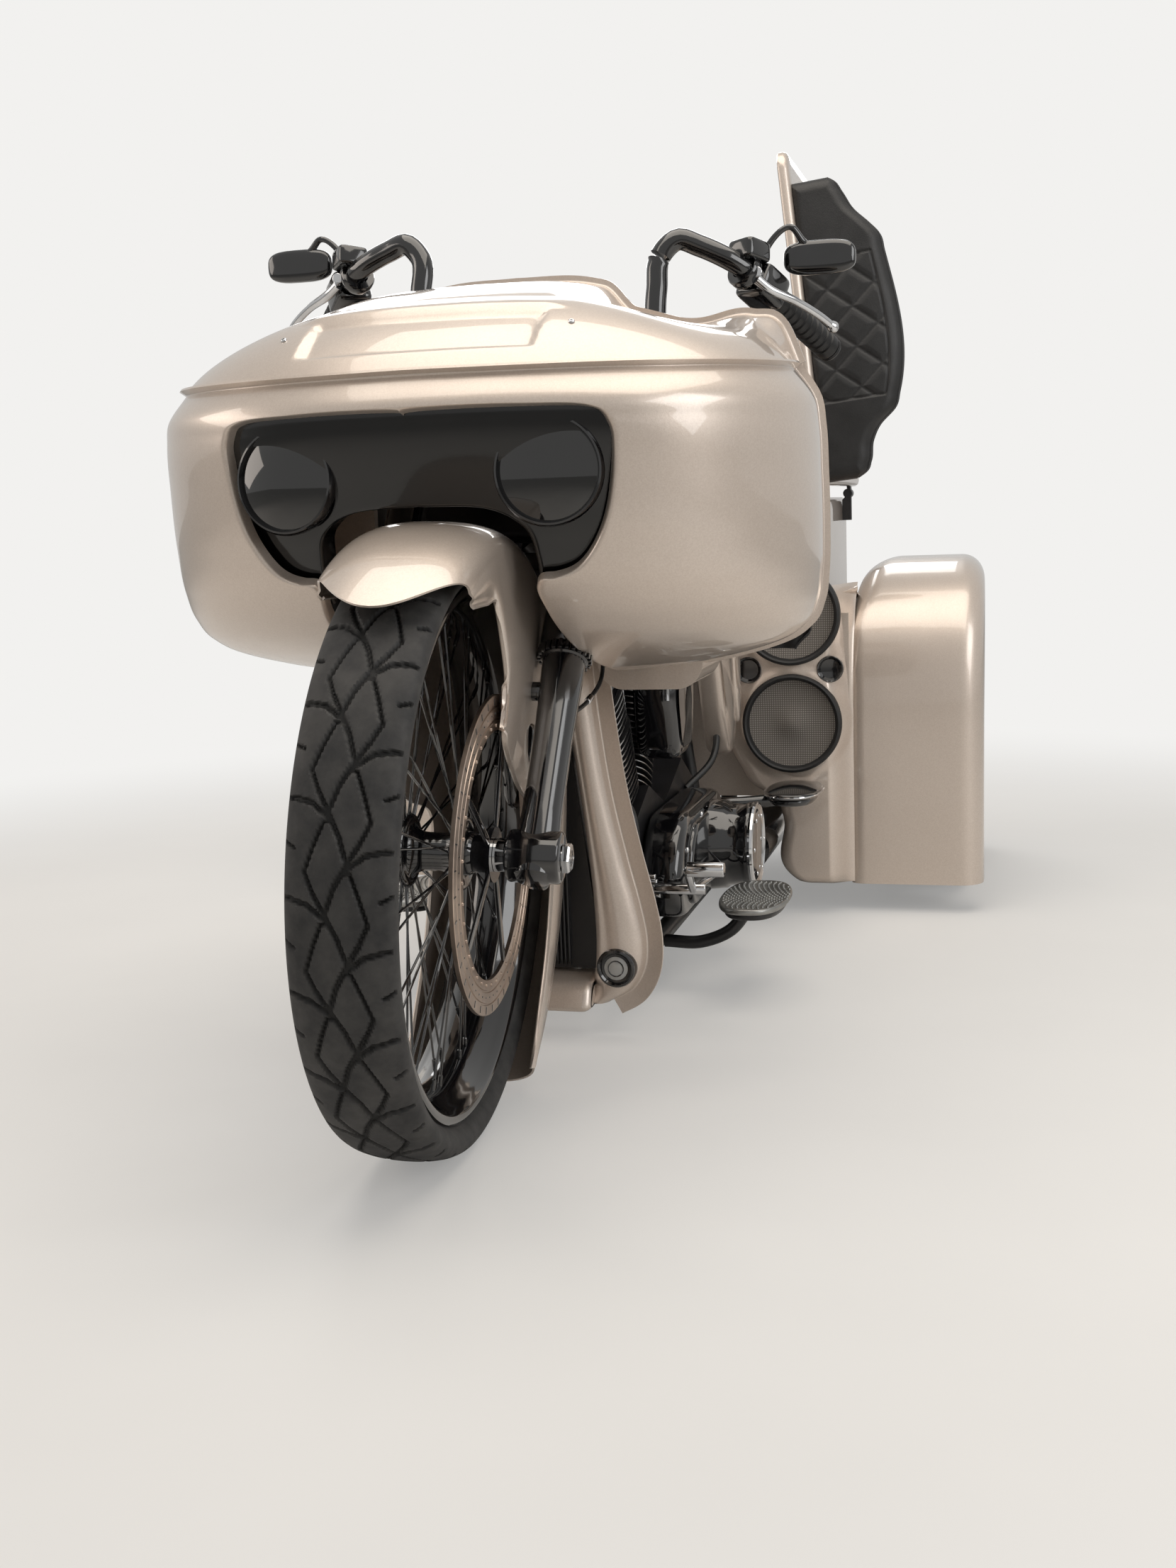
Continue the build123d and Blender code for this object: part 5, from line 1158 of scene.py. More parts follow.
def rear_fender(side):
    """A fender: its inner wall, then each point of its outline carried across the machine between quarter circles
    at both edges, deep ones on the inner side of the crown, then the outer side down to the rolled wheel opening.
    Its outer part is drawn in towards the rear."""
    outer, arch = fender_outline()
    slope = np.gradient(outer, axis=0)
    inward = np.stack([slope[:, 1], -slope[:, 0]], -1)
    inward /= np.linalg.norm(inward, axis=1, keepdims=True)
    high = ease(outer[:, 1], 0.56, 0.69)
    deep = 0.018 + 0.045 * high
    rows = []
    a = np.linspace(0, math.pi / 2, 12)
    inner_edge = outer + inward * deep[:, None]
    for s in np.linspace(0, 0.97, 8):
        rows.append((np.full(len(outer), FENDER_INNER), arch + (inner_edge - arch) * s))
    for k in a:
        rows.append((FENDER_INNER + (0.030 + 0.045 * high) * (1 - np.cos(k)),
                     outer + inward * (deep * (1 - np.sin(k)))[:, None]))
    for x in np.linspace(0.480, 0.605, 8):
        rows.append((np.full(len(outer), x), outer))
    for k in a[1:]:
        rows.append((np.full(len(outer), 0.605 + 0.045 * np.sin(k)), outer + inward * 0.045 * (1 - np.cos(k))))
    side_edge = outer + inward * 0.045
    for s in np.linspace(0.1, 0.97, 10):
        rows.append((np.full(len(outer), FENDER_OUTER), side_edge + (arch - side_edge) * s))
    for k in (0.3, 0.7, 1.0):
        rows.append((np.full(len(outer), FENDER_OUTER - 0.012 * k ** 2),
                     side_edge + (arch - side_edge) * (0.97 + 0.03 * k)))
    rows.append((np.full(len(outer), FENDER_OUTER - 0.030), arch))
    pull = [FENDER_TAPER * ease(flat[:, 0], 1.36, 2.30) * ease(x, 0.48, 0.60) for x, flat in rows]
    grid = np.array([at(side * (x - p), flat[:, 0], flat[:, 1]) for (x, flat), p in zip(rows, pull)])
    if side < 0:
        grid = grid[:, ::-1]
    return walled(facing(grid, 24, 80, 2), 0.003)


def wheel_wells():
    """Black inner guards arched over the rear tyres, inside the fenders."""
    parts = []
    angle = np.radians(np.linspace(-35, 215, 80))[:, None]
    for side in (-1, 1):
        x = side * np.linspace(0.398, 0.610, 10)[None]
        reach = 0.3395 - 0.045 * ease(0.440 - np.abs(x), 0, 0.04)
        grid = at(x + 0 * angle, WHEELBASE + reach * np.cos(angle), REAR_TYRE_R + reach * np.sin(angle))
        parts.append(walled(grid, 0.002))
    return joined(*parts)


def fender_front(z):
    """How far behind the front axle the rear fender's front face stands at a height."""
    share = np.clip((z - REAR_TYRE_R) / (FENDER_TOP - REAR_TYRE_R), 0, 0.999)
    half = (FENDER_REAR - FENDER_FRONT) / 2
    return FENDER_FRONT + half * (1 - (1 - share ** FENDER_POWER) ** (1 / FENDER_POWER))


SPEAKER_X, SPEAKERS_Z = 0.284, (0.388, 0.600)
PORTS_X, PORT_Z = (0.199, 0.360), 0.494


def speaker_panel(side):
    """A panel facing forward: level lines from its inner edge, which runs out low down, to the fender, bulging
    forward, rounded back at its inner and lower edges and falling into a soft valley beside the fender."""
    z = np.linspace(0.062, 0.655, 160)[None]
    inner = through([0.062, 0.085, 0.20, 0.235, 0.262, 0.300, 0.690],
                    [0.290, 0.266, 0.258, 0.243, 0.200, 0.174, 0.170], z)
    s = np.linspace(0, 1, 150)[:, None]
    x = inner + (0.400 - inner) * s
    turn = 1 - np.clip((x - inner) / 0.028, 0, 1)
    low = 1 - np.clip((z - 0.062) / 0.022, 0, 1)
    top = 1 - np.clip((0.655 - z) / 0.030, 0, 1)
    back = (1.300 + 0.028 * (1 - np.sqrt(1 - turn ** 2)) + 0.020 * (1 - np.sqrt(1 - low ** 2))
            + 0.030 * (1 - np.sqrt(1 - top ** 2)))
    valley = ease(x, 0.352, 0.402)
    back = back + (np.maximum(fender_front(z) + 0.007, back) - back) * valley
    swell = np.zeros(np.broadcast(x, z).shape)
    for height in SPEAKERS_Z:
        gap = np.hypot(x - SPEAKER_X, z - height)
        swell = swell + 0.006 * (1 - ease(gap, 0.098, 0.118)) - 0.032 * (1 - ease(gap, 0.0865, 0.0905))
    for across in PORTS_X:
        gap = np.hypot(x - across, z - PORT_Z)
        swell = swell - 0.020 * (1 - ease(gap, 0.0175, 0.0215))
    grid = at(side * x, back - swell, z + 0 * x)
    return walled(rolled(facing(grid, 50, 70, 1, -1), 0.003, 0.030), 0.003)


def speakers():
    """Round speakers: a dark surround and a grey mesh face dished to a low centre dome; and two ports a side."""
    rings, faces, ports = [], [], []
    r = np.linspace(0, 0.0865, 40)
    dish = -0.004 - 0.010 * (1 - (r / 0.0865) ** 2) + 0.012 * np.exp(-(r / 0.030) ** 2)
    face = np.concatenate([[[-0.018, 0.0]], [[-0.018, 0.0865]], np.stack([dish, r], -1)[::-1]])
    ring = [[-0.012, 0.084], [-0.012, 0.0975], [0.003, 0.0975], [0.007, 0.0955], [0.0085, 0.0920], [0.006, 0.0885],
            [-0.002, 0.0865], [-0.006, 0.084]]
    port = [[-0.010, 0.0], [-0.010, 0.026], [0.003, 0.026], [0.005, 0.0245], [0.004, 0.0225], [-0.004, 0.0190],
            [-0.006, 0.0]]
    for side in (-1, 1):
        for z in SPEAKERS_Z:
            rings.append(turned_solid(ring, at(side * SPEAKER_X, 1.292, z), (0, -1, 0), 96))
            faces.append(turned_solid(face, at(side * SPEAKER_X, 1.292, z), (0, -1, 0), 96, False))
        for x in PORTS_X:
            ports.append(turned_solid(port, at(side * x, 1.299, PORT_Z), (0, -1, 0), 48, False))
    piece("speaker_surrounds", joined(*rings), moulded_black, "chassis")
    piece("speaker_faces", joined(*faces), mesh_cloth, "chassis", "speaker_grilles")
    piece("speaker_ports", joined(*ports), gloss_black, "chassis")


def plan_ring(half_x, half_d, radius, z, count=12):
    """A rounded rectangle seen from above, centred on the trunk: quarter circles joined by straight runs."""
    a = np.linspace(0, math.pi / 2, count)
    corners = [(1, 1, 0), (-1, 1, 1), (-1, -1, 2), (1, -1, 3)]
    middle = (TRUNK_FRONT + TRUNK_REAR) / 2
    points = []
    for sx, sd, k in corners:
        b = a + k * math.pi / 2
        points.append(np.stack([sx * (half_x - radius) + radius * np.cos(b),
                                sd * (half_d - radius) + radius * np.sin(b)], -1))
    flat = np.concatenate(points)
    return flat[:, 0], flat[:, 1] + middle, np.full(len(flat), z)


def trunk_rings(profile, half_w, radius, fall, place=np.asarray):
    """Rounded rectangles one above another, from (inset, height): their corners' radius falls as they draw in."""
    half_d = (TRUNK_REAR - TRUNK_FRONT) / 2
    rings = [place(at(*plan_ring(half_w - inset, half_d - inset, max(radius - inset * fall, 0.0), z)))
             for inset, z in profile]
    return sheet(np.array(rings), close_columns=True)


def trunk():
    """The trunk tub with a rolled rim, its black lining, and the body panels beside, behind and before it."""
    outside = [(0.000, 0.430), (0.000, 0.800), (0.001, 0.815), (0.004, 0.823), (0.009, 0.826), (0.013, 0.823),
               (0.014, 0.815)]
    piece("trunk_tub", trunk_rings(outside, TRUNK_HALF_W, 0.040, 0.5), pearl, "chassis", "trunk_box", crease=50)
    lining = [(0.010, 0.822), (0.0145, 0.818), (0.015, 0.790), (0.015, 0.460), (0.022, 0.438), (0.045, 0.430),
              (0.180, 0.430), (TRUNK_HALF_W, 0.430)]
    piece("trunk_lining", trunk_rings(lining, TRUNK_HALF_W, 0.035, 0.2), carpet, "chassis")
    shoulders = []
    a = np.linspace(0, math.pi / 2, 9)
    top, tail = 0.612, 2.058
    drop = np.stack([tail - 0.035 + 0.035 * np.sin(a), top - 0.035 + 0.035 * np.cos(a)], -1)
    fall = np.stack([np.full(16, tail), np.linspace(top - 0.045, 0.235, 16)], -1)
    level = np.stack([np.linspace(TRUNK_FRONT - 0.030, tail - 0.045, 40), np.full(40, top)], -1)
    level[:, 1] += 0.036 * (1 - ease(level[:, 0], 1.33, 1.60))
    run = np.concatenate([level, drop, fall])
    for side in (-1, 1):
        x = side * (0.316 + 0.084 * np.linspace(0, 1, 14))[:, None]
        dip = -0.010 * np.sin(math.pi * np.linspace(0, 1, 14))[:, None] * (run[:, 1] > top - 0.01)
        start = 1.326 + (fender_front(0.640) - 1.326) * ease(np.abs(x), 0.352, 0.402)
        grid = at(x + 0 * run[:, 0], np.maximum(run[:, 0] + 0 * x, start), run[:, 1] + dip)
        shoulders.append(walled(facing(grid, 6, 20, 2), 0.004))
    x = np.linspace(-0.317, 0.317, 40)[:, None]
    rear = np.concatenate([drop, fall])
    grid = at(x + 0 * rear[:, 0], rear[:, 0] + 0 * x, rear[:, 1] + 0 * x)
    shoulders.append(walled(facing(grid, 20, 20, 1), 0.004))
    x, z = np.meshgrid(np.linspace(-0.392, 0.392, 60), np.linspace(0.235, 0.600, 30), indexing="ij")
    shoulders.append(walled(at(x, TRUNK_FRONT - 0.004 + 0 * x, z), 0.004))
    for side in (-1, 1):
        x, back = np.meshgrid(side * np.linspace(0.172, 0.318, 16), np.linspace(1.322, 1.346, 6), indexing="ij")
        shoulders.append(walled(at(x, back, 0.650 + 0 * x), 0.004))
    piece("body_shoulders", joined(*shoulders), pearl, "chassis")


def trunk_lid():
    """The lid as it stands open: rounded rings from its lining side to its flat skin, the lining, the leaves."""
    half_w = TRUNK_HALF_W - 0.003
    skin = [(0.010, 0.833), (0.003, 0.833), (0.000, 0.836), (0.000, 0.845), (0.003, 0.851), (0.008, 0.8535),
            (0.030, 0.8540), (0.120, 0.8540), (half_w, 0.8540)]
    piece("trunk_lid_skin", trunk_rings(skin, half_w, 0.034, 0.3, on_lid), pearl, "trunk_lid_body", "trunk_lid",
          crease=50)
    liner = [(0.012, 0.8335), (0.013, 0.8325), (0.020, 0.8322), (0.100, 0.8322), (half_w, 0.8322)]
    piece("trunk_lid_lining", trunk_rings(liner, half_w, 0.030, 0.3, on_lid), carpet, "trunk_lid_body")
    leaves = []
    for back in (TRUNK_FRONT + 0.095, TRUNK_REAR - 0.095):
        leaves.append(pin(at(HINGE_X, back - 0.019, HINGE_Z), at(HINGE_X, back + 0.017, HINGE_Z),
                          0.0105, 24, 0.002))
        arm = block((0.026, 0.0115, 0.0045), placed(at(HINGE_X - 0.018, back - 0.001, HINGE_Z + 0.003), (0, 0, 1)))
        leaves.append((on_lid(arm[0]), arm[1]))
    piece("lid_hinge_leaves", joined(*leaves), satin_black, "trunk_lid_body")


PAD_EDGE = np.array([
    # along from the free end to the hinged end, height as a share
    [-1.00, 0.41], [-0.965, 0.50], [-0.90, 0.57], [-0.76, 0.70], [-0.66, 0.86], [-0.58, 0.97], [-0.48, 1.0],
    [0.46, 1.0], [0.56, 0.93], [0.66, 0.72], [0.76, 0.61], [0.90, 0.55], [0.965, 0.48], [1.00, 0.36]])
PAD_HALF_L, PAD_H, PAD_X, PAD_BASE = 0.286, 0.158, 0.029, 0.8548
PAD_FRONT, PAD_T = 1.352, 0.068
QUILT_HALF, QUILT_TOP = 0.47, 0.84
QUILT_LONG, QUILT_WIDE = 0.076, 0.088


def pad_face(front):
    """One face of the backrest. Heights follow the edge curve; its thickness rises from the edge as a quarter
    circle, and the front is pressed in along two sets of slanted seams that cross in diamonds, inside a border."""
    s = np.linspace(-1, 1, 340)[:, None]
    v = 0.5 - 0.5 * np.cos(np.linspace(0, math.pi, 120))[None]
    high = through(PAD_EDGE[:, 0], PAD_EDGE[:, 1], s) * PAD_H
    soft = 0.026
    ends = (1 - np.abs(s)) * PAD_HALF_L
    gap = np.minimum(np.minimum(ends + 0 * v, v * high + 0.010), (1 - v) * high)
    puff = np.sqrt(1 - (1 - np.clip(gap / soft, 0, 1)) ** 2)
    x, up = s * PAD_HALF_L, v * high
    crown = 0.006 * np.cos(s * math.pi / 2) * np.sin(math.pi * np.clip(up / PAD_H, 0, 1))
    depth = (PAD_T / 2 - 0.006) * puff + crown * puff
    beside, below = QUILT_HALF * PAD_HALF_L - np.abs(x), QUILT_TOP * high - up
    inside = ease(beside, 0, 0.003) * ease(below, 0, 0.003)
    first = np.abs(np.mod(x / QUILT_LONG + up / QUILT_WIDE, 1) - 0.5)
    second = np.abs(np.mod(x / QUILT_LONG - up / QUILT_WIDE, 1) - 0.5)
    valley = np.minimum(first, second) * QUILT_LONG
    pillow = 0.0042 * (1 - np.sqrt(np.clip(valley / 0.016, 0, 1)))
    stitch = 0.0008 * (1 - ease(np.abs(valley - 0.0032), 0.0004, 0.0012))
    border = np.maximum((1 - ease(np.abs(beside), 0.0006, 0.0035)) * ease(below, -0.002, 0),
                        (1 - ease(np.abs(below), 0.0006, 0.0035)) * ease(beside, -0.002, 0))
    if front:
        depth = depth - inside * (pillow + stitch) - 0.0030 * border * puff
    middle = PAD_FRONT + PAD_T / 2
    return on_lid(at(PAD_X + x + 0 * up, middle + (-depth if front else depth), PAD_BASE + up))


def backrest():
    """The quilted backrest on the lid: two faces joined along their shared edge, and a welt cord round it."""
    part = joined(sheet(pad_face(True)), sheet(pad_face(False)))
    pad = piece("backrest_cushion", part, leather, "trunk_lid_body", "backrest_pad", crease=60)
    edge = np.linspace(-0.995, 0.995, 160)
    high = through(PAD_EDGE[:, 0], PAD_EDGE[:, 1], edge) * PAD_H
    for place, offset in (("front", -0.010), ("rear", 0.010)):
        line = on_lid(at(PAD_X + edge * PAD_HALF_L * 0.992, PAD_FRONT + PAD_T / 2 + offset,
                         PAD_BASE + high * 0.985))
        piece("backrest_welt_" + place, tube(None, 0.0028, count=10, path=line), leather, "trunk_lid_body")


def rear_body():
    """The whole rear body."""
    for side, name in ((1, "left"), (-1, "right")):
        piece("rear_fender_" + name, rear_fender(side), pearl, "chassis", "fender_" + name, crease=50)
        piece("speaker_panel_skin_" + name, speaker_panel(side), pearl, "chassis", "speaker_panel_" + name,
              crease=50)
    piece("wheel_wells", wheel_wells(), moulded_black, "chassis")
    speakers()
    trunk()
    trunk_lid()
    backrest()


# Chin, cooler and fog lamps

CHIN_LINE = np.array([
    # height, inner x, outer x
    [0.600, 0.044, 0.092], [0.500, 0.056, 0.102], [0.390, 0.070, 0.117], [0.290, 0.080, 0.138],
    [0.215, 0.086, 0.157], [0.160, 0.088, 0.167], [0.115, 0.086, 0.164], [0.080, 0.080, 0.145],
    [0.060, 0.074, 0.112]])


def chin():
    """The painted chin: two legs, each a crowned strip between an inner and an outer edge, and the scoop that
    joins them low down."""
    t = np.linspace(0, 1, 90)[None]
    knots = np.linspace(0, 1, len(CHIN_LINE))
    line = through(knots, CHIN_LINE, t[0])
    s = np.linspace(0, 1, 26)[:, None]
    legs = []
    for side in (-1, 1):
        x = line[:, 1] + (line[:, 2] - line[:, 1]) * s
        z = line[:, 0] + 0 * s
        bulge = 0.030 * np.sqrt(np.clip(1 - (2 * s - 1) ** 2, 0, 1)) + 0.006 * ease(z, 0.30, 0.10)
        grid = facing(at(side * x, 0.487 - bulge - 0.008, z), 13, 45, 1, -1)
        legs.append(walled(rolled(rolled(grid, 0.003, 0.024)[::-1], 0.003, 0.024)[::-1], 0.003))
    scoop = slab(rounded_outline([[0.407, 0.053], [0.513, 0.059], [0.513, 0.109], [0.427, 0.095]], 0.016, 8),
                 -0.0895, 0.0895, sideways(1), 0.014)
    piece("chin_legs", joined(*legs), pearl, "chassis", "chin_surround", crease=50)
    piece("chin_scoop", scoop, pearl, "chassis", crease=50)
    slats = [block((0.0012, 0.006, 0.178), placed(at(x, 0.466, 0.292), (0, 0, 1), (1, 0, 0)), rows=8, columns=12)
             for x in np.arange(-0.050, 0.0501, 0.0065)]
    header = block((0.060, 0.014, 0.012), placed(at(0, 0.474, 0.472), (0, 0, 1), (1, 0, 0)))
    piece("cooler_slats", joined(*slats, header), satin_black, "chassis")
    rings, lenses = [], []
    for side in (-1, 1):
        spot = at(side * 0.126, 0.447, 0.118)
        rings.append(turned_solid([[-0.012, 0.0], [-0.012, 0.031], [0.004, 0.031], [0.008, 0.029], [0.009, 0.026],
                                   [0.005, 0.0225], [0.002, 0.0]], spot, (0, -1, 0), 64, False))
        rings.append(turned_solid([[0.006, 0.0105], [0.0075, 0.0110], [0.0085, 0.0125], [0.006, 0.0135]], spot,
                                  (0, -1, 0), 48))
        lenses.append(turned_solid([[0.001, 0], [0.001, 0.0190], [0.005, 0.0185], [0.0072, 0.0130], [0.0078, 0]],
                                   spot, (0, -1, 0), 48, False))
    piece("fog_lamp_rings", joined(*rings), gloss_black, "chassis")
    piece("fog_lamp_lenses", joined(*lenses), fog_glass, "chassis", "fog_lamps")


# Engine

CRANK_BACK, CRANK_Z = 0.800, 0.215


def cylinder_place(lean):
    """A map for slabs square to a cylinder that leans to the rear: u is x, v runs to the rear."""
    lean = math.radians(lean)
    up = np.array([0, math.sin(lean), math.cos(lean)])
    rear = np.array([0, math.cos(lean), -math.sin(lean)])
    foot = at(0, CRANK_BACK, CRANK_Z)

    def place(u, v, height):
        u, v, height = np.broadcast_arrays(u, v, height)
        return foot + u[..., None] * np.array([1.0, 0, 0]) + v[..., None] * rear + height[..., None] * up
    return place, up


def cylinders():
    """Two finned cylinders: thin rounded fins with machined edges, heads, rocker covers and their bolts."""
    for lean, name in ((-22.5, "front"), (22.5, "rear")):
        place, up = cylinder_place(lean)
        fins, edges = [], []
        a = np.linspace(0, 2 * math.pi, 97)[:-1]
        wave = np.stack([bent(np.cos(a), 0.62), bent(np.sin(a), 0.62)], -1)
        for row in range(18):
            h = 0.128 + 0.0112 * row
            reach = 1.0 if row < 12 else 0.96
            fins.append(slab(wave * [0.092 * reach, 0.078 * reach], h, h + 0.0032, place, 0.0006))
            band = [place(*(wave * k).T, np.full(96, h + dh)) for k, dh in (
                ((0.0922 * reach, 0.0782 * reach), 0.0003), ((0.0932 * reach, 0.0792 * reach), 0.0008),
                ((0.0932 * reach, 0.0792 * reach), 0.0024), ((0.0922 * reach, 0.0782 * reach), 0.0029))]
            edges.append(sheet(np.array(band), close_columns=True, close_rows=True))
        barrel = turned_solid([[0.110, 0], [0.110, 0.066], [0.345, 0.062], [0.345, 0]],
                              at(0, CRANK_BACK, CRANK_Z), up, 64, False)
        piece(name + "_cylinder_fins", joined(barrel, *fins), satin_black, "chassis", name + "_cylinder",
              crease=30)
        piece(name + "_fin_edges", joined(*edges), fin_edge, "chassis")
        head = slab(rounded_outline([[-0.086, -0.074], [0.086, -0.074], [0.086, 0.074], [-0.086, 0.074]], 0.030),
                    0.328, 0.352, place, 0.004)
        rocker = slab(rounded_outline([[-0.080, -0.062], [0.080, -0.062], [0.080, 0.062], [-0.080, 0.062]], 0.034),
                      0.353, 0.379, place, 0.012, 0.004)
        bolts = []
        for x, v in ((-0.070, -0.052), (0.070, -0.052), (-0.070, 0.052), (0.070, 0.052), (0, -0.060), (0, 0.060)):
            bolts.append(hex_bolt(place(x, v, 0.374), up, 0.006, 0.007))
        piece(name + "_rocker_cover", joined(head, rocker), gloss_black, "chassis", crease=40)
        piece(name + "_rocker_bolts", joined(*bolts), chrome, "chassis")


def pushrods():
    """Four bright pushrod tubes on the right side, from the cam cover up into the heads."""
    tubes, collars = [], []
    for foot, lean, v in ((0.745, -22.5, -0.020), (0.775, -22.5, 0.018),
                          (0.825, 22.5, -0.018), (0.855, 22.5, 0.020)):
        place = cylinder_place(lean)[0]
        low, high = at(-0.112, foot, 0.285), place(-0.085, v, 0.335)
        tubes.append(pin(low, high, 0.0095, 24))
        way = (high - low) / np.linalg.norm(high - low)
        collars.append(pin(low, low + way * 0.03, 0.0125, 24))
        collars.append(pin(low + way * 0.09, low + way * 0.105, 0.012, 24))
    piece("pushrod_tubes", joined(*tubes, *collars), chrome, "chassis")


def engine_covers():
    """The primary cover with its round outer face, cam cover, gearbox side, oil filter, the cover between the
    cylinders and the air cleaner."""
    place = sideways(1)
    outline = rounded_outline([[0.700, 0.128], [1.120, 0.128], [1.150, 0.220], [1.090, 0.300], [0.760, 0.300],
                               [0.690, 0.220]], 0.050, 8)
    cover = slab(outline, 0.106, 0.178, place, 0.020, 0.006)
    step = slab(np.array([0.925, 0.212]) + (outline - outline.mean(0)) * 0.80, 0.170, 0.188, place, 0.008, 0.003)
    drum = turned_solid([[0, 0], [0, 0.082], [0.028, 0.079], [0.034, 0.0745], [0.060, 0.0720], [0.066, 0.0755],
                         [0.074, 0.0765], [0.078, 0.0740], [0.078, 0]],
                        at(0.184, 0.960, 0.212), (1, 0, 0), 96, False)
    piece("primary_cover_shell", joined(cover, step, drum), gloss_black, "chassis", "primary_cover", crease=40)
    ring = turned_solid([[0.000, 0.060], [0.000, 0.0765], [0.004, 0.0780], [0.008, 0.0765], [0.0095, 0.0720],
                         [0.006, 0.066], [0.005, 0.060]], at(0.2585, 0.960, 0.212), (1, 0, 0), 96)
    face = turned_solid([[0, 0], [0, 0.064], [0.006, 0.064], [0.009, 0.050], [0.0095, 0]], at(0.2585, 0.960, 0.212),
                        (1, 0, 0), 64, False)
    angle = np.arange(14) * 2 * math.pi / 14
    rim = np.stack([np.full(14, 0.1795), 0.925 + 0.195 * np.cos(angle), 0.212 + 0.070 * np.sin(angle)], -1)
    bolts = [button_bolt(at(*rim.T), (1, 0, 0), 0.0055)]
    side_ring = at(np.full(6, 0.2685), 0.960 + 0.055 * np.cos(angle[:6] * 14 / 6),
                   0.212 + 0.055 * np.sin(angle[:6] * 14 / 6))
    bolts.append(button_bolt(side_ring, (1, 0, 0), 0.0040))
    piece("primary_cover_trim", joined(ring, *bolts), chrome, "chassis")
    piece("primary_cover_face", face, gloss_black, "chassis")

    right = sideways(-1)
    cam = slab(rounded_outline([[0.715, 0.160], [0.885, 0.160], [0.905, 0.250], [0.860, 0.298], [0.745, 0.298],
                                [0.700, 0.250]], 0.035, 7), 0.104, 0.136, right, 0.010, 0.004)
    gear = slab(rounded_outline([[0.960, 0.150], [1.130, 0.150], [1.150, 0.280], [0.985, 0.290]], 0.030, 7), 0.100,
                0.138, right, 0.012, 0.004)
    piece("engine_right_covers", joined(cam, gear), gloss_black, "chassis")
    lump = slab(rounded_outline([[0.748, 0.395], [0.852, 0.395], [0.880, 0.505], [0.866, 0.560], [0.800, 0.578],
                                 [0.734, 0.560], [0.720, 0.505]], 0.030, 7), 0.096, 0.172, place, 0.022, 0.008)
    piece("left_cover_between_cylinders", lump, gloss_black, "chassis")
    trim = smooth_path([[0.722, 0.500], [0.730, 0.555], [0.760, 0.578], [0.800, 0.584], [0.842, 0.578],
                        [0.870, 0.555], [0.879, 0.500]], 50)
    bars = [tube(None, 0.0042, count=12, path=at(np.full(50, 0.158), trim[:, 0], trim[:, 1]))]
    bars.append(pin(at(0.0, 0.610, 0.150), at(0.0, 0.560, 0.150), 0.036, 48, 0.008))
    for k in range(6):
        spot = (0.655 + 0.012 * k, 0.215 - 0.012 * k)
        bars.append(pin(at(0.10, *spot), at(0.145, *spot), 0.006 + 0.001 * (k % 2), 16))
    piece("engine_bright_parts", joined(*bars), chrome, "chassis")
    drum = turned_solid([[0, 0], [0, 0.094], [0.010, 0.098], [0.046, 0.098], [0.052, 0.093], [0.055, 0.060],
                         [0.050, 0.054], [0.050, 0]], at(-0.104, CRANK_BACK, 0.510), (-1, 0, 0), 96, False)
    gills = [turned_solid([[h, 0.0975], [h, 0.1000], [h + 0.0025, 0.1000], [h + 0.0025, 0.0975]],
                          at(-0.104, CRANK_BACK, 0.510), (-1, 0, 0), 96) for h in np.arange(0.012, 0.045, 0.006)]
    piece("air_cleaner_drum", joined(drum, *gills), gloss_black, "chassis", "air_cleaner")


def engine_dressing():
    """Small parts of the left side: shift rod and arm, oil lines, plug leads and ribs under the cases."""
    bars = [pin(at(0.150, 0.620, 0.205), at(0.235, 0.620, 0.205), 0.009, 20),
            pin(at(0.215, 0.618, 0.205), at(0.215, 1.010, 0.172), 0.0055, 16),
            pin(at(0.215, 0.615, 0.205), at(0.215, 0.575, 0.245), 0.007, 16),
            pin(at(0.215, 0.572, 0.248), at(0.275, 0.572, 0.248), 0.012, 20)]
    leads = [tube(at(*np.transpose(route)), radius, 40, count) for radius, count, route in (
        (0.0045, 12, [[0.09, 0.655, 0.560], [0.125, 0.690, 0.585], [0.110, 0.750, 0.640], [0.06, 0.790, 0.690]]),
        (0.0045, 12, [[0.09, 0.940, 0.560], [0.130, 0.900, 0.590], [0.110, 0.850, 0.650], [0.06, 0.820, 0.690]]),
        (0.0065, 14, [[0.08, 0.64, 0.36], [0.118, 0.600, 0.34], [0.125, 0.590, 0.24], [0.09, 0.600, 0.150]]),
        (0.0065, 14, [[0.108, 1.10, 0.290], [0.150, 1.16, 0.340], [0.140, 1.22, 0.440], [0.10, 1.26, 0.520]]))]
    ribs = [block((0.104, 0.003, 0.020), placed(at(0, back, 0.118), (0, 0, 1), (1, 0, 0)), rows=8, columns=16)
            for back in np.arange(0.690, 1.140, 0.030)]
    piece("shift_linkage", joined(*bars), chrome, "chassis")
    piece("engine_hoses", joined(*leads), hose_rubber, "chassis")
    piece("engine_case_ribs", joined(*ribs), satin_black, "chassis")


# Boards, tank, seat and side covers

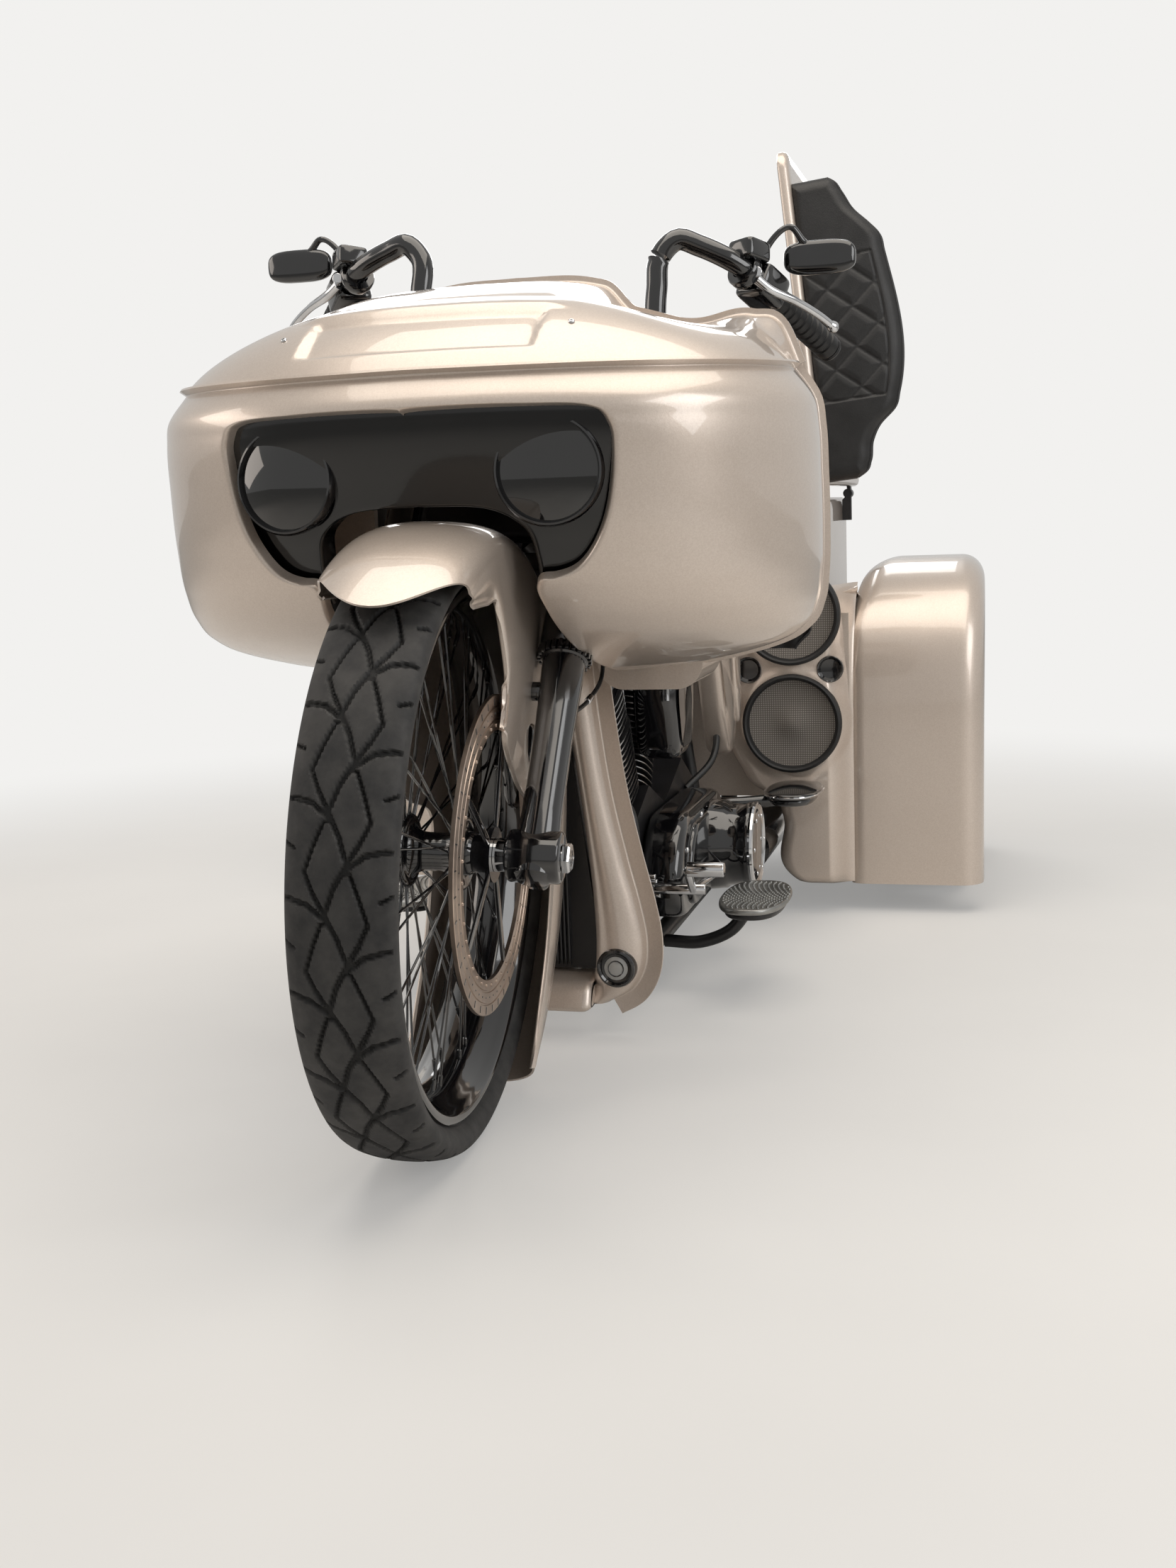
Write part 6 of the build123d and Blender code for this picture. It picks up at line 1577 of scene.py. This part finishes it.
def boards():
    """Rider floorboards: cleated silver ovals on black brackets. Passenger boards: black lozenges."""
    cleats, plates, brackets, pads, trims = [], [], [], [], []
    a = np.linspace(0, 2 * math.pi, 73)[:-1]
    oval = np.stack([bent(np.cos(a), 0.75), bent(np.sin(a), 0.9)], -1)
    for side in (-1, 1):
        centre = np.array([side * 0.295, 0.750])
        plates.append(slab(centre + oval * [0.058, 0.115], 0.158, 0.168, upright, 0.004))
        rows = np.arange(-0.100, 0.1001, 0.0085)
        for k, v in enumerate(rows):
            half = 0.052 * math.sqrt(max(0.02, 1 - (v / 0.112) ** 2))
            xs = np.arange(-half, half + 0.001, 0.0085) + (0.00425 if k % 2 else 0)
            spots = at(side * 0.295 + xs, np.full(len(xs), 0.750 + v), np.full(len(xs), 0.1665))
            cleats.append(copies(lathe([[0, 0], [0, 0.0030], [0.0032, 0.0020], [0.0036, 0]], 8, False),
                                 placed(spots, (0, 0, 1))))
        brackets.append(tube([at(side * 0.137, 0.750, 0.084), at(side * 0.20, 0.750, 0.084),
                              at(side * 0.250, 0.750, 0.105), at(side * 0.290, 0.750, 0.158)], 0.011, 40, 20))
        brackets.append(slab(centre + oval * [0.050, 0.100], 0.146, 0.158, upright, 0.005))
        spot = np.array([side * 0.300, 1.195])
        pads.append(slab(spot + oval * [0.054, 0.094], 0.266, 0.277, upright, 0.005, 0.002))
        pads.append(slab(spot + oval * [0.046, 0.080], 0.252, 0.267, upright, 0.007))
        pads.append(tube([at(side * 0.106, 1.160, 0.250), at(side * 0.17, 1.162, 0.250),
                          at(side * 0.24, 1.180, 0.252), at(side * 0.300, 1.195, 0.258)], 0.0125, 40, 20))
        trims.append(tube(None, 0.0022, count=8, path=at(*(spot + oval[np.r_[0:72, 0]] * [0.0545, 0.0945]).T,
                                                        np.full(73, 0.2715))))
    piece("floorboard_plates", joined(*plates, *cleats), cast_silver, "chassis", "floorboards")
    piece("floorboard_brackets", joined(*brackets), satin_black, "chassis")
    piece("passenger_board_pads", joined(*pads), gloss_black, "chassis", "passenger_boards")
    piece("passenger_board_trim", joined(*trims), chrome, "chassis")


def body_section(stations, power, count=72):
    """A closed form from stations of (back, half width, bottom, top): superellipses square to the machine."""
    stations = np.asarray(stations, float)
    t = np.linspace(0, 1, 90)
    knots = (stations[:, 0] - stations[0, 0]) / (stations[-1, 0] - stations[0, 0])
    line = through(knots, stations, t)
    a = np.linspace(0, 2 * math.pi, count, endpoint=False)
    across, upwards = bent(np.cos(a), 2 / power), bent(np.sin(a), 2 / power)
    ends = np.sqrt(np.clip(1 - np.abs(2 * t - 1) ** 14, 0, 1))[:, None]
    middle, tall = (line[:, 2] + line[:, 3]) / 2, (line[:, 3] - line[:, 2]) / 2
    return at(line[:, 1, None] * across * ends, line[:, 0, None] + 0 * across,
              middle[:, None] + tall[:, None] * upwards * ends)


def tank_and_seat():
    """The tank with its cap and console, the stitched seat, and the painted side covers."""
    tank = body_section([[0.556, 0.088, 0.712, 0.775], [0.610, 0.128, 0.708, 0.832], [0.690, 0.148, 0.707, 0.862],
                         [0.840, 0.148, 0.707, 0.852], [0.925, 0.122, 0.707, 0.812], [0.984, 0.090, 0.709, 0.765]], 3.0)
    piece("fuel_tank_shell", sheet(tank, close_columns=True), pearl, "chassis", "fuel_tank", crease=50)
    console = body_section([[0.660, 0.030, 0.845, 0.862], [0.74, 0.040, 0.840, 0.871], [0.86, 0.040, 0.826, 0.860],
                            [0.95, 0.026, 0.780, 0.803]], 2.6)
    piece("tank_console", sheet(console, close_columns=True), gloss_black, "chassis")
    cap = turned_solid([[0, 0], [0, 0.030], [0.006, 0.031], [0.010, 0.028], [0.012, 0.020], [0.013, 0]],
                       at(0, 0.780, 0.866), (0, 0, 1), 48, False)
    piece("fuel_cap", cap, chrome, "chassis")
    rider = [[0.992, 0.075, 0.712, 0.752], [1.030, 0.128, 0.672, 0.722], [1.080, 0.158, 0.630, 0.707],
             [1.130, 0.162, 0.619, 0.718], [1.165, 0.158, 0.619, 0.738], [1.190, 0.152, 0.622, 0.745]]
    pillion = [[1.160, 0.120, 0.640, 0.742], [1.180, 0.152, 0.620, 0.765], [1.230, 0.162, 0.618, 0.776],
               [1.300, 0.162, 0.618, 0.774], [1.339, 0.154, 0.622, 0.762]]
    for name, stations in (("rider_seat", rider), ("pillion_seat", pillion)):
        grid = body_section(stations, 3.4, 96)
        dip = 0.010 * np.exp(-((grid[..., 0] / 0.05) ** 2)) * (grid[..., 2] > 0.70)
        grid[..., 2] -= dip
        ribs = 0.0022 * np.abs(np.sin(grid[..., 0] * math.pi / 0.034)) ** 0.5 * ease(grid[..., 2], 0.69, 0.71)
        grid[..., 2] += ribs - 0.0022 * ease(grid[..., 2], 0.69, 0.71)
        part = sheet(grid, close_columns=True)
        seat = piece(name, part, leather, "chassis", *(["seat"] if name == "rider_seat" else []), crease=60)
    covers = []
    for side in (-1, 1):
        outline = rounded_outline([[1.045, 0.665], [1.285, 0.690], [1.285, 0.350], [1.215, 0.330], [1.150, 0.430],
                                   [1.085, 0.560]], 0.030, 7)
        covers.append(slab(outline, 0.128, 0.176, sideways(side), 0.016, 0.010))
        covers.append(slab(np.array([1.235, 0.50]) + (outline - outline.mean(0)) * [0.34, 0.62], 0.172, 0.188,
                           sideways(side), 0.008, 0.004))
    screws = joined(*[button_bolt(at(side * 0.186, 1.130, 0.600), (side, 0, 0), 0.006) for side in (-1, 1)])
    piece("side_covers", joined(*covers), pearl, "chassis", crease=40)
    piece("side_cover_screws", screws, chrome, "chassis")


# Rear wheels and lamps

def rear_wheels():
    """Rear tyres: a square-shouldered section turned about the axle, with three grooves and slanted cuts."""
    half = smooth_path([[0.092, 0.222], [0.098, 0.250], [0.1025, 0.276], [0.1010, 0.300], [0.0950, 0.317],
                        [0.0800, 0.3265], [0.050, 0.3290], [0, 0.330]], 60)[::-1]
    section = np.concatenate([(half * [-1, 1])[::-1], half[1:]])
    inner = np.array([[0.080, 0.2165], [0.0, 0.2160], [-0.080, 0.2165]])
    angle = np.linspace(0, 2 * math.pi, 480, endpoint=False)[:, None]
    x = section[:, 0][None]
    cut = np.zeros((480, section.shape[0]))
    for groove in (-0.045, 0.0, 0.045):
        cut = np.maximum(cut, 1 - ease(np.abs(x - groove), 0.0035, 0.0055))
    pitch = 2 * math.pi / 60
    slant = np.abs(np.mod(angle + np.abs(x) * 2.4, pitch) - pitch / 2) * REAR_TYRE_R
    cut = np.maximum(cut, (1 - ease(slant, 0.0012, 0.0026)) * ease(np.abs(x), 0.052, 0.060))
    cut = cut * ease(section[:, 1][None], 0.300, 0.312)
    radius = section[:, 1][None] - 0.006 * cut
    for side, name in ((1, "left"), (-1, "right")):
        centre = side * REAR_WHEEL_X
        outer = at(centre + x + 0 * angle, WHEELBASE + radius * np.cos(angle),
                   REAR_TYRE_R + radius * np.sin(angle))
        low = at(centre + inner[:, 0] + 0 * angle, WHEELBASE + inner[:, 1] * np.cos(angle),
                 REAR_TYRE_R + inner[:, 1] * np.sin(angle))
        # The groove share goes to the rubber, which darkens the grooves with it as painted shade.
        groove = np.concatenate([cut, np.zeros((480, 3))], axis=1)
        tyre = sheet(np.concatenate([outer, low], 1), close_rows=True, close_columns=True)
        piece("rear_tyre_tread_" + name, tyre, rubber, "rear_wheel_" + name, "rear_tyre_" + name,
              attribute=("groove", groove))


def tail():
    """Tail lamps: red lenses with bright bezels."""
    rims, lenses = [], []
    for side in (-1, 1):
        corners = [[-0.065, -0.035], [0.065, -0.035], [0.065, 0.035], [-0.065, 0.035]]
        outline = np.array([side * 0.520, 0.470]) + rounded_outline(corners, 0.028, 8)
        lenses.append(slab(outline, 2.069, 2.0795, lambda u, v, h: at(u, h, v), 0.006, 0.0))
        ring = np.array([at(*(outline.mean(0) + (outline - outline.mean(0)) * k).T[:1],
                            np.full(len(outline), b), (outline.mean(0) + (outline - outline.mean(0)) * k)[:, 1])
                         for k, b in ((1.02, 2.064), (1.09, 2.064), (1.09, 2.074), (1.05, 2.076), (1.02, 2.074))])
        rims.append(sheet(ring, close_rows=True, close_columns=True))
    piece("tail_lamp_lenses", joined(*lenses), red_glass, "chassis", "tail_lamps")
    piece("tail_lamp_bezels", joined(*rims), chrome, "chassis")


# Build

studio()
fairing()
front_wheel()
front_fender()
fork()
hoses()
shroud()
handlebar()
hand_controls()
rear_body()
chin()
cylinders()
pushrods()
engine_covers()
engine_dressing()
boards()
tank_and_seat()
rear_wheels()
tail()

# Solids that show as they are, each with its material
NODE_FINISH = {
    "frame_tubes": satin_black, "engine_cases": satin_black, "exhaust": gloss_black, "inner_fairing": pearl,
    "cooler_core": satin_black, "trunk_hinges": satin_black, "rear_rim_left": gloss_black,
    "rear_rim_right": gloss_black, "rear_axle": satin_black, "plate_bracket": satin_black,
}
for name, finish in NODE_FINISH.items():
    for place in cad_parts[name].material_slots:
        place.link = "OBJECT"
        place.material = finish
